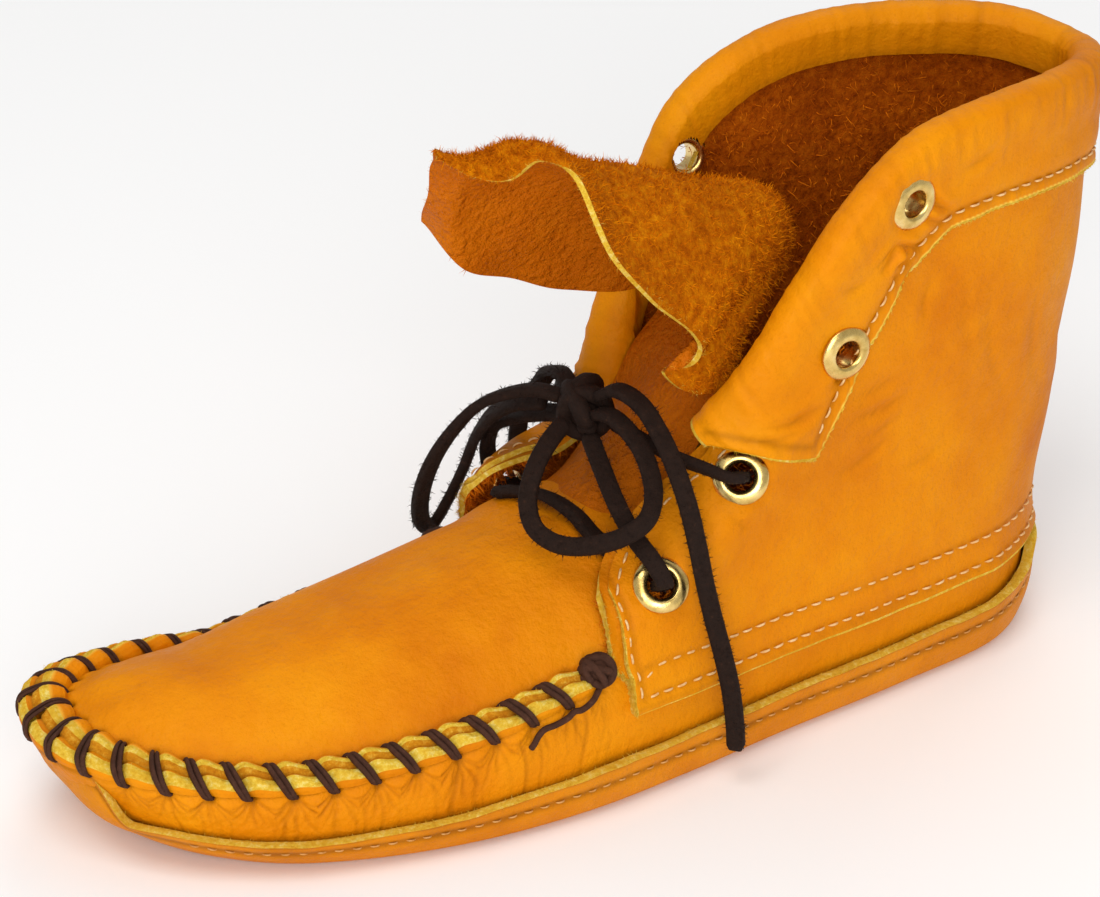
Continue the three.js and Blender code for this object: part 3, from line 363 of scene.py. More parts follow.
def wall_depth(s):
    return seam_at(s) - wall_foot(s)


def wall(s, up, out=0.0):
    """The side wall of the foot: up is 0 at the tread and 1 at the toe seam."""
    x, y, in_x, in_y, arc = outline(s)
    along = x / shoe_length
    inset, tread, least = (look_up(wall_sections, c, along) * ball_width for c in ("inset", "tread", "least"))
    widest = look_up(wall_sections, "widest", along)
    below = np.maximum(0, (widest - up) / widest)
    above = np.maximum(0, (up - widest) / (1 - widest))
    inward = least + (tread - least) * below**tread_roundness
    inward = inward + (inset - least) * above**shoulder_roundness - out
    places = x + in_x * inward, y + in_y * inward, wall_foot(s) + wall_depth(s) * up
    return np.stack(np.broadcast_arrays(*places), -1)


def ridge_share(s):
    return ease(ridge_end - ridge_fade, ridge_end + ridge_fade, along_at(s))


def far_side(s):
    """1 along the big toe's side of the instep, where the seam lies low behind the plug."""
    return ease(*far_side_along, along_at(s)) * (np.asarray(s) < 0)


def dome(s, reach):
    """The plug over toes and instep: reach is 1 at its seam and 0 on the middle line."""
    ridge = ridge_share(s)
    edge = wall(s, 1.0, -(ridge_width + plug_gap) * ridge)
    edge[..., 2] += (ridge_height - ridge_step) * ridge
    outer = outline(np.abs(s))
    inner = outline(-np.abs(s))
    x = (outer[0] + inner[0]) / 2
    limit = dome_end * shoe_length
    x = np.minimum(x, limit + (x - limit) * dome_creep)
    y = (outer[1] + inner[1]) * dome_sway
    top = look_up(dome_line, "top", x / shoe_length) * instep_height
    arch = (1 - reach * reach) ** dome_roundness
    return np.stack(np.broadcast_arrays(
        x + (edge[..., 0] - x) * reach, y + (edge[..., 1] - y) * reach,
        edge[..., 2] + (top - edge[..., 2]) * arch), -1)


# The shaft, read by round (0 outer throat edge, 0.5 back seam, 1 inner throat edge) and up

side_shares = np.linspace(0.05, 1, 1900)
side_places = {side: outline(side * side_shares)[0] for side in (1, -1)}
shaft_columns = 481
shaft_ups = 241
grid_rounds = shares(shaft_columns)
grid_ups = shares(shaft_ups)
# The shaft is carried on in front of its edges: millimetres for one whole round, and the columns
# that give its direction there
edge_run = 300.0
edge_columns = 4


def s_at_place(side, x):
    return side * np.interp(x, side_places[side][::-1], side_shares[::-1])


def quarter_foot(side, index, height):
    s = s_at_place(side, shaft_foot[index] * shoe_length)
    return wall(s, (height - wall_foot(s)) / wall_depth(s), quarter_lift)


def shaft_place(side, index, rows, much):
    """A section's point; much is how far the inner side's throat is laid open at this row."""
    along, half, up = rows[index]
    open_share = much if side < 0 else 0.0
    x = along * shoe_length
    z = (up - throat_drop[index] * open_share) * shaft_height
    width = (half + throat_spread[index] * open_share) * shaft_width / 2
    share = s_at_place(1, max(x, 1.0))
    sway = (outline(share)[1] + outline(-share)[1]) / 2
    return np.array([x, side * width + sway * np.clip(1 - z / (straight_from * shaft_height), 0, 1), z])


def shaft_line(make, *settings):
    last = len(shaft_foot) - 1
    outer = [make(1, index, *settings) for index in range(last + 1)]
    return np.array(outer + [make(-1, index, *settings) for index in range(last)][::-1])


def shaft_grid():
    lines = [shaft_line(quarter_foot, quarter_edge_height + lap) for lap in (0.0, quarter_lap)]
    for rows, much in ((shaft_middle, middle_spread), (shaft_high, high_spread), (shaft_top, top_spread)):
        lines.append(shaft_line(shaft_place, rows, much))
    lines = np.stack([curve_at(line, grid_rounds) for line in lines])
    fine = shares(column_points)
    return np.stack([evenly(curve_at(lines[:, c], fine), shaft_ups) for c in range(shaft_columns)], 1)


def grid_normals(points):
    return unit(np.cross(np.gradient(points, axis=1), np.gradient(points, axis=0)))


shaft_points = shaft_grid()
shaft_normals = grid_normals(shaft_points)
edge_ways = [
    unit(shaft_points[:, 0] - shaft_points[:, edge_columns]),
    unit(shaft_points[:, -1] - shaft_points[:, -1 - edge_columns])]


def read_grid(grid, round_share, up):
    """Bilinear reading of a shaft grid."""
    column = np.clip(round_share, 0, 1) * (shaft_columns - 1)
    row = np.clip(up, 0, 1) * (shaft_ups - 1)
    c = np.clip(np.floor(column).astype(int), 0, shaft_columns - 2)
    r = np.clip(np.floor(row).astype(int), 0, shaft_ups - 2)
    wc = (column - c)[..., None]
    wr = (row - r)[..., None]
    low, high = (grid[k, c] * (1 - wc) + grid[k, c + 1] * wc for k in (r, r + 1))
    return low * (1 - wr) + high * wr


def beyond_edge(round_share, up):
    """The way from a front edge to a place in front of it, for rounds below 0 or above 1."""
    total = 0.0
    for much, way in zip((-round_share, round_share - 1), edge_ways):
        total = total + read_line(up, grid_ups, way) * np.maximum(much, 0)[..., None] * edge_run
    return total


def shaft_normal(round_share, up):
    return read_grid(shaft_normals, *np.broadcast_arrays(round_share, up))


def shaft(round_share, up, out=0.0):
    round_share, up, out = np.broadcast_arrays(round_share, up, out)
    lifted = shaft_normal(round_share, up) * out[..., None]
    return read_grid(shaft_points, round_share, up) + lifted + beyond_edge(round_share, up)


def on_shaft(side, along, up):
    """The round and up of a place seen from the side."""
    first = 0 if side > 0 else shaft_columns // 2 + 1
    part = shaft_points[:, first:shaft_columns // 2 if side > 0 else None]
    away = np.hypot(part[..., 0] - along * shoe_length, part[..., 2] - up * shaft_height)
    row, column = np.unravel_index(np.argmin(away), away.shape)
    return (column + first) / (shaft_columns - 1), row / (shaft_ups - 1)


# Meshes from grids of points

middle = np.array([shoe_length / 2, 0, 0])
tube_end_size = 0.72
stitch_pitch = 4.2
stitch_scatter = 0.12
stitch_turn = 0.05
stitch_arch = 0.42
stitch_flatness = 0.8
hair_bend = 0.55
hair_waist = 0.6
hair_curl = 0.25


class Piece:
    """Grids of points gathered into one mesh, each with a material's number and a shade: painted shade from 0
    to 1, and on smooth leather the pale worn colour below 0.
    """

    def __init__(self):
        self.points, self.faces, self.kinds, self.shades = [], [], [], []
        self.count = 0

    def add(self, points, faces, kind=0, shade=0.0):
        points = np.asarray(points, float).reshape(-1, 3)
        self.points.append(points)
        self.faces.append(np.asarray(faces) + self.count)
        self.kinds.append(np.full(len(faces), kind))
        self.shades.append(np.broadcast_to(np.asarray(shade, float).ravel(), len(points)))
        self.count += len(points)

    def grid(self, points, kind=0, shade=0.0, around=False, flip=False, keep=None):
        rows, columns = points.shape[:2]
        at = np.arange(rows * columns).reshape(rows, columns)
        if around:
            at = np.concatenate([at, at[:, :1]], 1)
        corners = [at[:-1, :-1], at[:-1, 1:], at[1:, 1:], at[1:, :-1]]
        faces = np.stack([c.ravel() for c in (corners[::-1] if flip else corners)], 1)
        if keep is not None:
            faces = faces[keep.ravel()[faces].all(axis=1)]
        self.add(points, faces, kind, np.broadcast_to(shade, points.shape[:2]))

    def finish(self, name, materials, replaced=()):
        points = (np.concatenate(self.points) - middle) / 1000
        faces = [face for block in self.faces for face in block.tolist()]
        mesh = bpy.data.meshes.new(name)
        mesh.from_pydata(points.tolist(), [], faces)
        mesh.polygons.foreach_set("material_index", np.concatenate(self.kinds).astype(np.int32))
        mesh.polygons.foreach_set("use_smooth", np.ones(len(faces), bool))
        shade = mesh.attributes.new("shade", "FLOAT", "POINT")
        shade.data.foreach_set("value", np.concatenate(self.shades).astype(np.float32))
        for material in materials:
            mesh.materials.append(material)
        mesh.update()
        made = bpy.data.objects.new(name, mesh)
        bpy.context.collection.objects.link(made)
        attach(made, "root")
        if replaced:
            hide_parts(*replaced)
        return made


def worn_sheet(piece, points, shade, keep, low_end):
    """The outer face of a sheet, its lower and side borders in the raw edge's material."""
    shade = np.broadcast_to(shade, points.shape[:2])
    rows = slice(1, None) if low_end == 0 else slice(0, -1)
    first, last = slice(0, 2), slice(-2, None)
    piece.grid(points[rows, 1:-1], 0, shade[rows, 1:-1], keep=keep[rows, 1:-1])
    for part in ((first if low_end == 0 else last, slice(None)), (rows, first), (rows, last)):
        piece.grid(points[part], 2, shade[part] * 0.5, keep=keep[part])


def shell(piece, outer, inner, kinds, shades, keep=None, worn=None):
    """Two facing sheets and the raw edges between them."""
    if worn is None:
        piece.grid(outer, kinds[0], shades[0], keep=keep)
    else:
        worn_sheet(piece, outer, shades[0], keep, worn)
    piece.grid(inner, kinds[1], shades[1], flip=True, keep=keep)
    for pair in ((inner[0], outer[0]), (outer[-1], inner[-1]),
                 (outer[:, 0], inner[:, 0]), (inner[:, -1], outer[:, -1])):
        piece.grid(np.stack(pair), kinds[2], shades[2])


def frames(line):
    """Directions across a line that turn as little as they can."""
    tangent = unit(np.gradient(line, axis=0))
    side = np.empty_like(line)
    start = np.cross(tangent[0], [0.0, 0.0, 1.0])
    if np.linalg.norm(start) < 0.1:
        start = np.cross(tangent[0], [0.0, 1.0, 0.0])
    side[0] = unit(start)
    for k in range(1, len(line)):
        side[k] = unit(side[k - 1] - tangent[k] * np.dot(side[k - 1], tangent[k]))
    return side, np.cross(tangent, side)


def circle(count):
    """Angles round a full turn, without the last."""
    return 2 * math.pi * np.arange(count) / count


def tube(piece, line, wide, thick, sides, square=0.0, turn=0.0):
    """A strand along a line with rounded ends; square makes its section boxy."""
    side, up = frames(line)
    angle = circle(sides)
    power = 2 + square * 3
    reach = (np.abs(np.cos(angle)) ** power + np.abs(np.sin(angle)) ** power) ** (-1 / power)
    tilt = np.linspace(0, turn, len(line))[:, None]
    a = (np.cos(angle) * reach * wide / 2)[None, :]
    b = (np.sin(angle) * reach * thick / 2)[None, :]
    across = a * np.cos(tilt) - b * np.sin(tilt)
    above = a * np.sin(tilt) + b * np.cos(tilt)
    size = np.ones((len(line), 1, 1))
    size[0] = size[-1] = tube_end_size
    ring = line[:, None] + (side[:, None] * across[..., None] + up[:, None] * above[..., None]) * size
    first, last = (np.repeat(end[:, None], sides, 1) for end in (line[:1], line[-1:]))
    piece.grid(np.concatenate([first, ring, last]), around=True, flip=True)
    return ring


def stitch_row(piece, line, normals, long=3.1, wide=0.62, sink=0.3):
    """Short rounded stitches along a line on a surface."""
    runs = runs_of(line)
    count = int(runs[-1] / stitch_pitch)
    t = shares(7)
    angles = circle(6)
    fat = np.sqrt(np.maximum(1 - (2 * t - 1) ** 4, 0.02))[:, None]
    arch = np.sin(math.pi * t)[:, None] ** 0.6
    for k in range(count):
        start = (k + 0.5) * runs[-1] / count - long / 2 + rng.normal(0, stitch_scatter)
        at = start + t * long
        centre = read_line(at, runs, line)
        normal = unit(read_line(at, runs, normals))
        across = unit(np.cross(normal, unit(np.gradient(centre, axis=0))))
        lean = rng.normal(0, stitch_turn) * (t - 0.5)[:, None] * long
        centre = centre + across * lean + normal * (arch * (stitch_arch * wide + sink) - sink)
        ring = centre[:, None] + fat[:, :, None] * wide / 2 * (
            across[:, None] * np.cos(angles)[None, :, None]
            + normal[:, None] * np.sin(angles)[None, :, None] * stitch_flatness)
        piece.grid(ring, around=True)


def fuzz(piece, points, normals, count, long, wide, seed, kind=0, lean=0.8):
    """Fine fibres standing on a grid of points."""
    maker = np.random.default_rng(seed)
    rows, columns = points.shape[:2]
    r = maker.integers(0, rows - 1, count)
    c = maker.integers(0, columns - 1, count)
    a, b = maker.random((2, count, 1))
    base = (points[r, c] * (1 - a) + points[r + 1, c] * a) * (1 - b) + (
        points[r, c + 1] * (1 - a) + points[r + 1, c + 1] * a) * b
    flow = maker.normal(0, lean, (count, 3))
    grow = unit(normals[r, c] + flow) * long * (0.5 + maker.random((count, 1)) ** 2)
    curl = maker.normal(0, hair_curl, (count, 3)) * long
    side = unit(np.cross(grow, maker.normal(0, 1, (count, 3)))) * wide / 2
    bend = base + grow * hair_bend
    waist = side * hair_waist
    blades = np.stack([base - side, base + side, bend + waist, base + grow + curl, bend - waist], 1)
    start = 5 * np.arange(count)[:, None]
    piece.add(blades, start + np.array([[0, 1, 2, 4]]), kind)
    piece.faces.append(start + np.array([[4, 2, 3]]) + piece.count - 5 * count)
    piece.kinds.append(np.full(count, kind))


def edge_fuzz(piece, edges, way, count, long, wide, first_seed, kind=2, lean=0.8):
    """Fibres on raw edges that all grow one way."""
    for seed, edge in enumerate(edges, first_seed):
        fuzz(piece, edge, np.zeros_like(edge) + way, count, long, wide, seed, kind, lean)


# Materials


def tint(colour, much):
    return tuple(part * much for part in colour)


class Shader:
    """A small helper that builds a node tree in reading order."""

    def __init__(self, name):
        self.material = bpy.data.materials.new(name)
        self.material.use_nodes = True
        self.nodes = self.material.node_tree.nodes
        self.links = self.material.node_tree.links
        self.main = self.nodes["Principled BSDF"]
        self.place = self.nodes.new("ShaderNodeTexCoord").outputs["Object"]

    def fill(self, made, inputs):
        for key, value in inputs.items():
            if isinstance(value, bpy.types.NodeSocket):
                self.links.new(value, made.inputs[key])
            elif made.inputs[key].type == "RGBA":
                made.inputs[key].default_value = (*value, 1)
            else:
                made.inputs[key].default_value = value

    def node(self, kind, inputs=(), **settings):
        made = self.nodes.new(kind)
        for key, value in settings.items():
            setattr(made, key, value)
        self.fill(made, dict(inputs))
        return made

    def noise(self, scale, detail=3.0, rough=0.55, stretch=None):
        place = self.place
        if stretch:
            place = self.node("ShaderNodeMapping", {"Vector": place, "Scale": stretch}).outputs["Vector"]
        return self.node("ShaderNodeTexNoise", {
            "Vector": place, "Scale": scale, "Detail": detail, "Roughness": rough}).outputs["Fac"]

    def cells(self, scale):
        return self.node(
            "ShaderNodeTexVoronoi", {"Vector": self.place, "Scale": scale},
            feature="DISTANCE_TO_EDGE").outputs["Distance"]

    def ramp(self, value, *stops):
        made = self.node("ShaderNodeValToRGB", {"Fac": value})
        elements = made.color_ramp.elements
        for element, (position, colour) in zip(elements, (stops[0], stops[-1])):
            element.position, element.color = position, (*colour, 1)
        for position, colour in stops[1:-1]:
            elements.new(position).color = (*colour, 1)
        return made.outputs["Color"]

    def span(self, value, low, high, to_low=0.0, to_high=1.0):
        made = self.node("ShaderNodeMapRange", {
            "Value": value, "From Min": low, "From Max": high, "To Min": to_low, "To Max": to_high})
        return made.outputs["Result"]

    def mix(self, share, a, b):
        return self.node("ShaderNodeMix", {0: share, 6: a, 7: b}, data_type="RGBA").outputs[2]

    def shade(self):
        return self.node("ShaderNodeAttribute", attribute_name="shade").outputs["Fac"]

    def bump(self, height, strength, distance, normal=None):
        inputs = {"Height": height, "Strength": strength, "Distance": distance}
        return self.node("ShaderNodeBump", inputs | ({"Normal": normal} if normal else {})).outputs["Normal"]

    def done(self, tone, rough, normal, specular=None, metal=0.0):
        self.fill(self.main, {"Base Color": tone, "Roughness": rough, "Metallic": metal})
        if normal:
            self.fill(self.main, {"Normal": normal})
        if specular is not None:
            self.fill(self.main, {"Specular IOR Level": specular})
        return self.material


worn_colour = (0.86, 0.55, 0.07)


def smooth_leather(name, base, deep, pale, grain=1.0, pebble=0.5):
    """Full-grain leather: mottled colour, fine grain, pores, painted shade in creases, grooves, holes and
    insides from the shade attribute, and the pale worn colour where it is below 0.
    """
    m = Shader(name)
    tone = m.ramp(m.noise(28, 4, 0.6), (0.28, deep), (0.5, base), (0.74, pale))
    tone = m.mix(m.span(m.noise(9, 2), 0.35, 0.7, 0.0, 0.35), tone, pale)
    tone = m.mix(m.span(m.noise(1100, 2, 0.6), 0.30, 0.42, 0.16, 0.0), tone, tint(deep, 0.7))
    shade = m.shade()
    tone = m.mix(m.span(shade, 0.0, 1.0, 0.0, 0.9), tone, tint(deep, 0.16))
    tone = m.mix(m.span(shade, -0.1, -0.8, 0.0, 1.0), tone, worn_colour)
    fine = m.bump(m.noise(1500, 3, 0.6), 0.30 * grain, 0.0003)
    pores = m.bump(m.cells(620), 0.22 * grain, 0.00035, fine)
    pebbles = m.bump(m.noise(400, 4, 0.62), pebble, 0.0013, pores)
    soft = m.bump(m.noise(60, 3, 0.5), 0.5, 0.0022, pebbles)
    return m.done(tone, m.span(m.noise(180, 3), 0.3, 0.7, 0.42, 0.58), soft, 0.07)


def suede(name, base, deep, pale, nap=1.0):
    m = Shader(name)
    tone = m.ramp(m.noise(420, 5, 0.72), (0.3, deep), (0.5, base), (0.72, pale))
    tone = m.mix(m.span(m.noise(45, 3), 0.35, 0.7, 0.0, 0.5), tone, deep)
    # Painted shade from the shade attribute, for insides and the gaps between fibres.
    tone = m.mix(m.span(m.shade(), 0.0, 1.0, 0.0, 0.92), tone, tint(deep, 0.1))
    hair = m.bump(m.noise(900, 5, 0.75, (1, 0.45, 1)), 0.9 * nap, 0.0007)
    return m.done(tone, 0.95, m.bump(m.noise(190, 4, 0.7), 0.7 * nap, 0.0012, hair), 0.04)


def raw_edge(name, base, deep, pale):
    m = Shader(name)
    tone = m.ramp(m.noise(700, 5, 0.75), (0.3, deep), (0.52, base), (0.7, pale))
    tone = m.mix(m.span(m.noise(90, 3), 0.4, 0.7, 0.0, 0.5), tone, deep)
    # Painted shade from the shade attribute, such as the pinches under the wraps and the sole's inside.
    tone = m.mix(m.span(m.shade(), 0.0, 1.0, 0.0, 0.9), tone, tint(deep, 0.2))
    return m.done(tone, 0.9, m.bump(m.noise(1300, 5, 0.8), 1.0, 0.0006), 0.08)


def cord_leather(name, base, pale):
    m = Shader(name)
    tone = m.ramp(m.noise(520, 5, 0.7), (0.35, base), (0.62, tint(base, 1.5)), (0.8, pale))
    fine = m.bump(m.noise(1500, 5, 0.8), 0.8, 0.0005)
    return m.done(tone, 0.75, m.bump(m.noise(330, 4, 0.7), 0.6, 0.0009, fine), 0.16)


def brass(name, base, deep, pale):
    m = Shader(name)
    tone = m.ramp(m.noise(240, 4, 0.6), (0.3, deep), (0.55, base), (0.8, pale))
    rough = m.span(m.noise(400, 4), 0.3, 0.7, 0.16, 0.36)
    return m.done(tone, rough, m.bump(m.noise(600, 3), 0.12, 0.0004), metal=1.0)


def stitch_thread(name, base, pale):
    m = Shader(name)
    tone = m.ramp(m.noise(800, 3), (0.35, base), (0.65, pale))
    return m.done(tone, 0.6, m.bump(m.noise(2600, 3, 0.6, (1, 1, 3)), 0.7, 0.0004), 0.35)


upper_look = smooth_leather(
    "upper_leather", (0.690, 0.212, 0.0008), (0.58, 0.150, 0.0006), (0.77, 0.275, 0.002))
cuff_look = smooth_leather(
    "cuff_leather", (0.700, 0.220, 0.0008), (0.59, 0.160, 0.0006), (0.78, 0.290, 0.002), pebble=0.35)
sole_look = smooth_leather(
    "sole_leather", (0.66, 0.210, 0.003), (0.52, 0.145, 0.002), (0.75, 0.275, 0.008), grain=1.4)
tongue_grain_look = smooth_leather(
    "tongue_leather", (0.56, 0.130, 0.0010), (0.44, 0.090, 0.0006), (0.64, 0.170, 0.002),
    grain=1.5, pebble=1.6)
tongue_suede_look = suede("tongue_suede", (0.72, 0.195, 0.0010), (0.42, 0.085, 0.0006), (0.95, 0.360, 0.004))
lining_look = suede("suede_lining", (0.46, 0.090, 0.0015), (0.20, 0.030, 0.0008), (0.66, 0.160, 0.004))
hair_look = suede("lining_hair", (0.70, 0.170, 0.004), (0.46, 0.085, 0.002), (0.85, 0.280, 0.012), nap=0.4)
core_look = raw_edge("raw_core", (0.70, 0.28, 0.010), (0.50, 0.15, 0.004), (0.90, 0.52, 0.06))
edge_look = raw_edge("raw_edge", (0.86, 0.57, 0.055), (0.68, 0.34, 0.015), (0.97, 0.82, 0.28))
lace_look = cord_leather("lace_cord", (0.013, 0.0055, 0.003), (0.070, 0.028, 0.013))
whip_look = cord_leather("whip_thread", (0.052, 0.020, 0.011), (0.16, 0.070, 0.040))
tan_stitch_look = stitch_thread("tan_stitch_thread", (0.56, 0.24, 0.05), (0.74, 0.40, 0.13))
stitch_look = stitch_thread("stitch_thread", (0.74, 0.38, 0.11), (0.90, 0.62, 0.30))
brass_look = brass("eyelet_brass", (0.82, 0.58, 0.20), (0.56, 0.36, 0.09), (0.92, 0.74, 0.36))


# Camera and light, in metres


def add_camera():
    back = np.array([
        math.sin(camera_yaw) * math.cos(camera_rise), math.cos(camera_yaw) * math.cos(camera_rise),
        math.sin(camera_rise)])
    right = unit(np.cross(-back, [0.0, 0.0, 1.0]))
    up = np.cross(right, -back)
    data = bpy.data.cameras.new("camera")
    data.lens = camera_lens
    data.sensor_width = 36.0
    data.clip_start = 0.05
    data.clip_end = 20.0
    made = bpy.data.objects.new("camera", data)
    place = (camera_aim + back * camera_distance) / 1000
    made.matrix_world = Matrix([*zip(right, up, back, place), (0, 0, 0, 1)])
    bpy.context.collection.objects.link(made)
    bpy.context.scene.camera = made


def add_light(name, place, size, power, colour=(1, 1, 1)):
    data = bpy.data.lights.new(name, "AREA")
    data.energy = power
    data.size = size
    data.color = colour
    made = bpy.data.objects.new(name, data)
    made.location = place
    made.rotation_mode = "QUATERNION"
    made.rotation_quaternion = (Vector(place) - light_aim).to_track_quat("Z", "Y")
    bpy.context.collection.objects.link(made)


def add_floor(half=6.0):
    data = bpy.data.meshes.new("floor")
    corners = [(-half, -half, 0), (half, -half, 0), (half, half, 0), (-half, half, 0)]
    data.from_pydata(corners, [], [(0, 1, 2, 3)])
    data.materials.append(Shader("floor_paper").done((0.985, 0.985, 0.985), 0.9, None, 0.05))
    made = bpy.data.objects.new("floor", data)
    bpy.context.collection.objects.link(made)


def add_world(strength):
    world = bpy.data.worlds.new("studio")
    world.use_nodes = True
    shade = world.node_tree.nodes["Background"]
    shade.inputs["Color"].default_value = (1.0, 1.0, 1.0, 1)
    shade.inputs["Strength"].default_value = strength
    bpy.context.scene.world = world


light_aim = Vector((0, 0, 0.05))
add_camera()
add_world(0.52)
add_floor()
add_light("key", (0.5, 0.35, 1.3), 0.7, 6, (1.0, 0.985, 0.96))
add_light("fill", (0.75, 1.35, 0.62), 1.0, 14.5)
add_light("rim", (-0.7, -0.7, 1.1), 0.8, 3.5)
bpy.context.scene.view_settings.view_transform = "Standard"


# Eyelets: places, then rings of spun brass

shaft_spans = 2 * len(shaft_foot) - 2
cuff_inner_shift = 0.24
cuff_start = cuff_first_section / shaft_spans
cuff_end = 1 - cuff_start - cuff_inner_shift / shaft_spans
cuff_corner_reach = 0.06
rim_padding = 1.5
eyelet_tilts = {"inner_1": np.array([-0.12, -0.05, -0.16])}
bore_clear = 4.4
bore_depth = 9
press_start = 5.5
press_end = 8.5
eyelet_section = [
    # the hole's edge 0 or the flange's 1, radius past it, the back 0 or the top 1, height over it
    (1, 0.0, 1, -0.25), (1, 0.02, 1, 0.10), (1, -0.25, 1, 0.45), (1, -0.9, 1, 0.85), (1, -1.7, 1, 1.15),
    (0, 1.0, 1, 1.22), (0, 0.45, 1, 1.05), (0, 0.1, 1, 0.65), (0, 0.0, 1, 0.1), (0, 0.0, 0, -0.2),
    (0, 0.15, 0, -0.8), (0, 0.6, 0, -1.15), (0, 1.3, 0, -1.1), (0, 2.0, 0, -0.7), (0, 2.3, 0, -0.1),
    (0, 0.5, 0, 0.0), (0, 0.5, 1, -0.25), (1, 0.0, 1, -0.25),
]


def stand_off(round_share):
    from_end = np.minimum(round_share - cuff_start, cuff_end - round_share)
    return cuff_stand_off + cuff_corner_lift * (1 - ease(0, cuff_corner_reach, from_end))


def place_eyelets():
    found = {}
    for name, side, along, up in eyelet_places:
        round_share, height = on_shaft(side, along, up)
        cuffed = name[-1] in "12"
        found[name] = {
            "centre": shaft(round_share, height),
            "normal": unit(shaft_normal(round_share, height) + eyelet_tilts.get(name, 0.0)),
            "top": float(stand_off(round_share) + cuff_leather) if cuffed else 0.0,
            "back": -leather - (rim_padding if name[-1] == "1" else 0.0),
        }
    return found


eyelets = place_eyelets()


def by_eyelets(points):
    """For each eyelet, how far points lie from its axis, and how far along it."""
    for eyelet in eyelets.values():
        rel = points - eyelet["centre"]
        height = rel @ eyelet["normal"]
        yield length_of(rel - height[..., None] * eyelet["normal"])[..., 0], np.abs(height)


def away_from_bores(points):
    """False where a point lies inside the bore of an eyelet."""
    clear = np.ones(points.shape[:-1], bool)
    for radius, height in by_eyelets(points):
        clear &= (radius > bore_clear) | (height > bore_depth)
    return clear


def press_in(points, depth):
    """How far leather is pressed in under the flanges of the eyelets."""
    return sum(
        depth * (1 - ease(press_start, press_end, radius)) * (height < bore_depth)
        for radius, height in by_eyelets(points))


def make_eyelets():
    piece = Piece()
    radii = eyelet_hole / 2, eyelet_flange / 2
    angle = circle(40)[:, None]
    for eyelet in eyelets.values():
        normal = unit(eyelet["normal"])
        side = unit(np.cross(normal, [0.0, 0.0, 1.0]))
        up = np.cross(normal, side)
        heights = eyelet["back"], eyelet["top"]
        around_axis = np.cos(angle) * side + np.sin(angle) * up
        rings = [
            eyelet["centre"] + normal * (heights[level] + rise) + (radii[edge] + out) * around_axis
            for edge, out, level, rise in eyelet_section]
        piece.grid(np.stack(rings), around=True, flip=True)
    return piece.finish("eyelets", [brass_look], ["eyelet_" + name for name in eyelets])


# Lace: free cords first, then the strands held in the throat

lace_inside = 4.5
rise_mouth = 5.5
cross_mouth = 5.0
lace_step = 1.3
lace_wide = 0.94 * lace_width
lace_thick = 0.56 * lace_width
lace_turn_thick = 0.85 * lace_width
# Hairs for each millimetre of lace, their length and width
lace_hairs = 9
lace_hair_long = 1.1
lace_hair_wide = 0.20
knot_half_sizes = (4.6, 5.8, 4.4)
bar_hidden_end = [(134.0, 24.0, 54.4), (135.8, 19.6, 56.6)]
knot_wraps = [
    # across, above, half width, half height, shift
    ((0.75, 0.45, 0.5), (-0.45, 0.1, 0.9), 5.4, 5.2, (-0.6, -2.4, 1.0)),
    ((0.75, -0.5, 0.35), (-0.2, 0.2, 0.95), 5.0, 5.4, (0.6, 2.2, 0.0)),
    ((0.15, 0.95, -0.3), (0.4, 0.2, 0.9), 5.6, 4.2, (1.6, 0.4, 0.6)),
]


def from_eyelet(name, mouth, route):
    """Points through an eyelet along its bore, from inside to its mouth, and on to the knot."""
    centre, normal = eyelets[name]["centre"], eyelets[name]["normal"]
    bore = [centre + normal * d for d in (-lace_inside, -lace_inside * 0.3, mouth * 0.3, mouth)]
    way = [bore[3] * (1 - share) + knot_place * share + np.array(lift) * lace_width for share, lift in route]
    return np.array(bore + way)


def lace_strand(name, route, replaced, twist=0.6):
    fine = curve_at(route, shares(40 * len(route)))
    line = evenly(fine, max(8, int(run_length(fine) / lace_step)))
    piece = Piece()
    skin = tube(piece, line, lace_wide, lace_thick, 16, 1.0, twist)
    hairs = int(run_length(line) * lace_hairs)
    away = unit(skin - line[:, None])
    fuzz(piece, skin, away, hairs, lace_hair_long, lace_hair_wide, len(line), lean=0.6)
    made = piece.finish(name, [lace_look], [replaced])


def ball(sides, half_sizes):
    """Rings of points round a core, from its lowest point to its highest."""
    lift = np.linspace(-math.pi / 2, math.pi / 2, 9)[:, None]
    angle = circle(sides)[None, :]
    flat = np.cos(angle) * np.cos(lift), np.sin(angle) * np.cos(lift), np.sin(lift) + 0 * angle
    return np.stack(flat, -1) * half_sizes


def make_knot():
    piece = Piece()
    turn = np.linspace(0, 2 * math.pi, 46)[:, None]
    for across, above, wide, high, shift in knot_wraps:
        a = unit(np.array(across))
        b = unit(np.array(above) - a * np.dot(above, a))
        ring = knot_place + shift + np.cos(turn) * a * wide + np.sin(turn) * b * high
        tube(piece, ring, lace_width, lace_turn_thick, 12, 0.4)
    piece.grid(knot_place + ball(16, knot_half_sizes), around=True)
    return piece.finish("lace_bow_knot", [lace_look], ["lace_knot"])


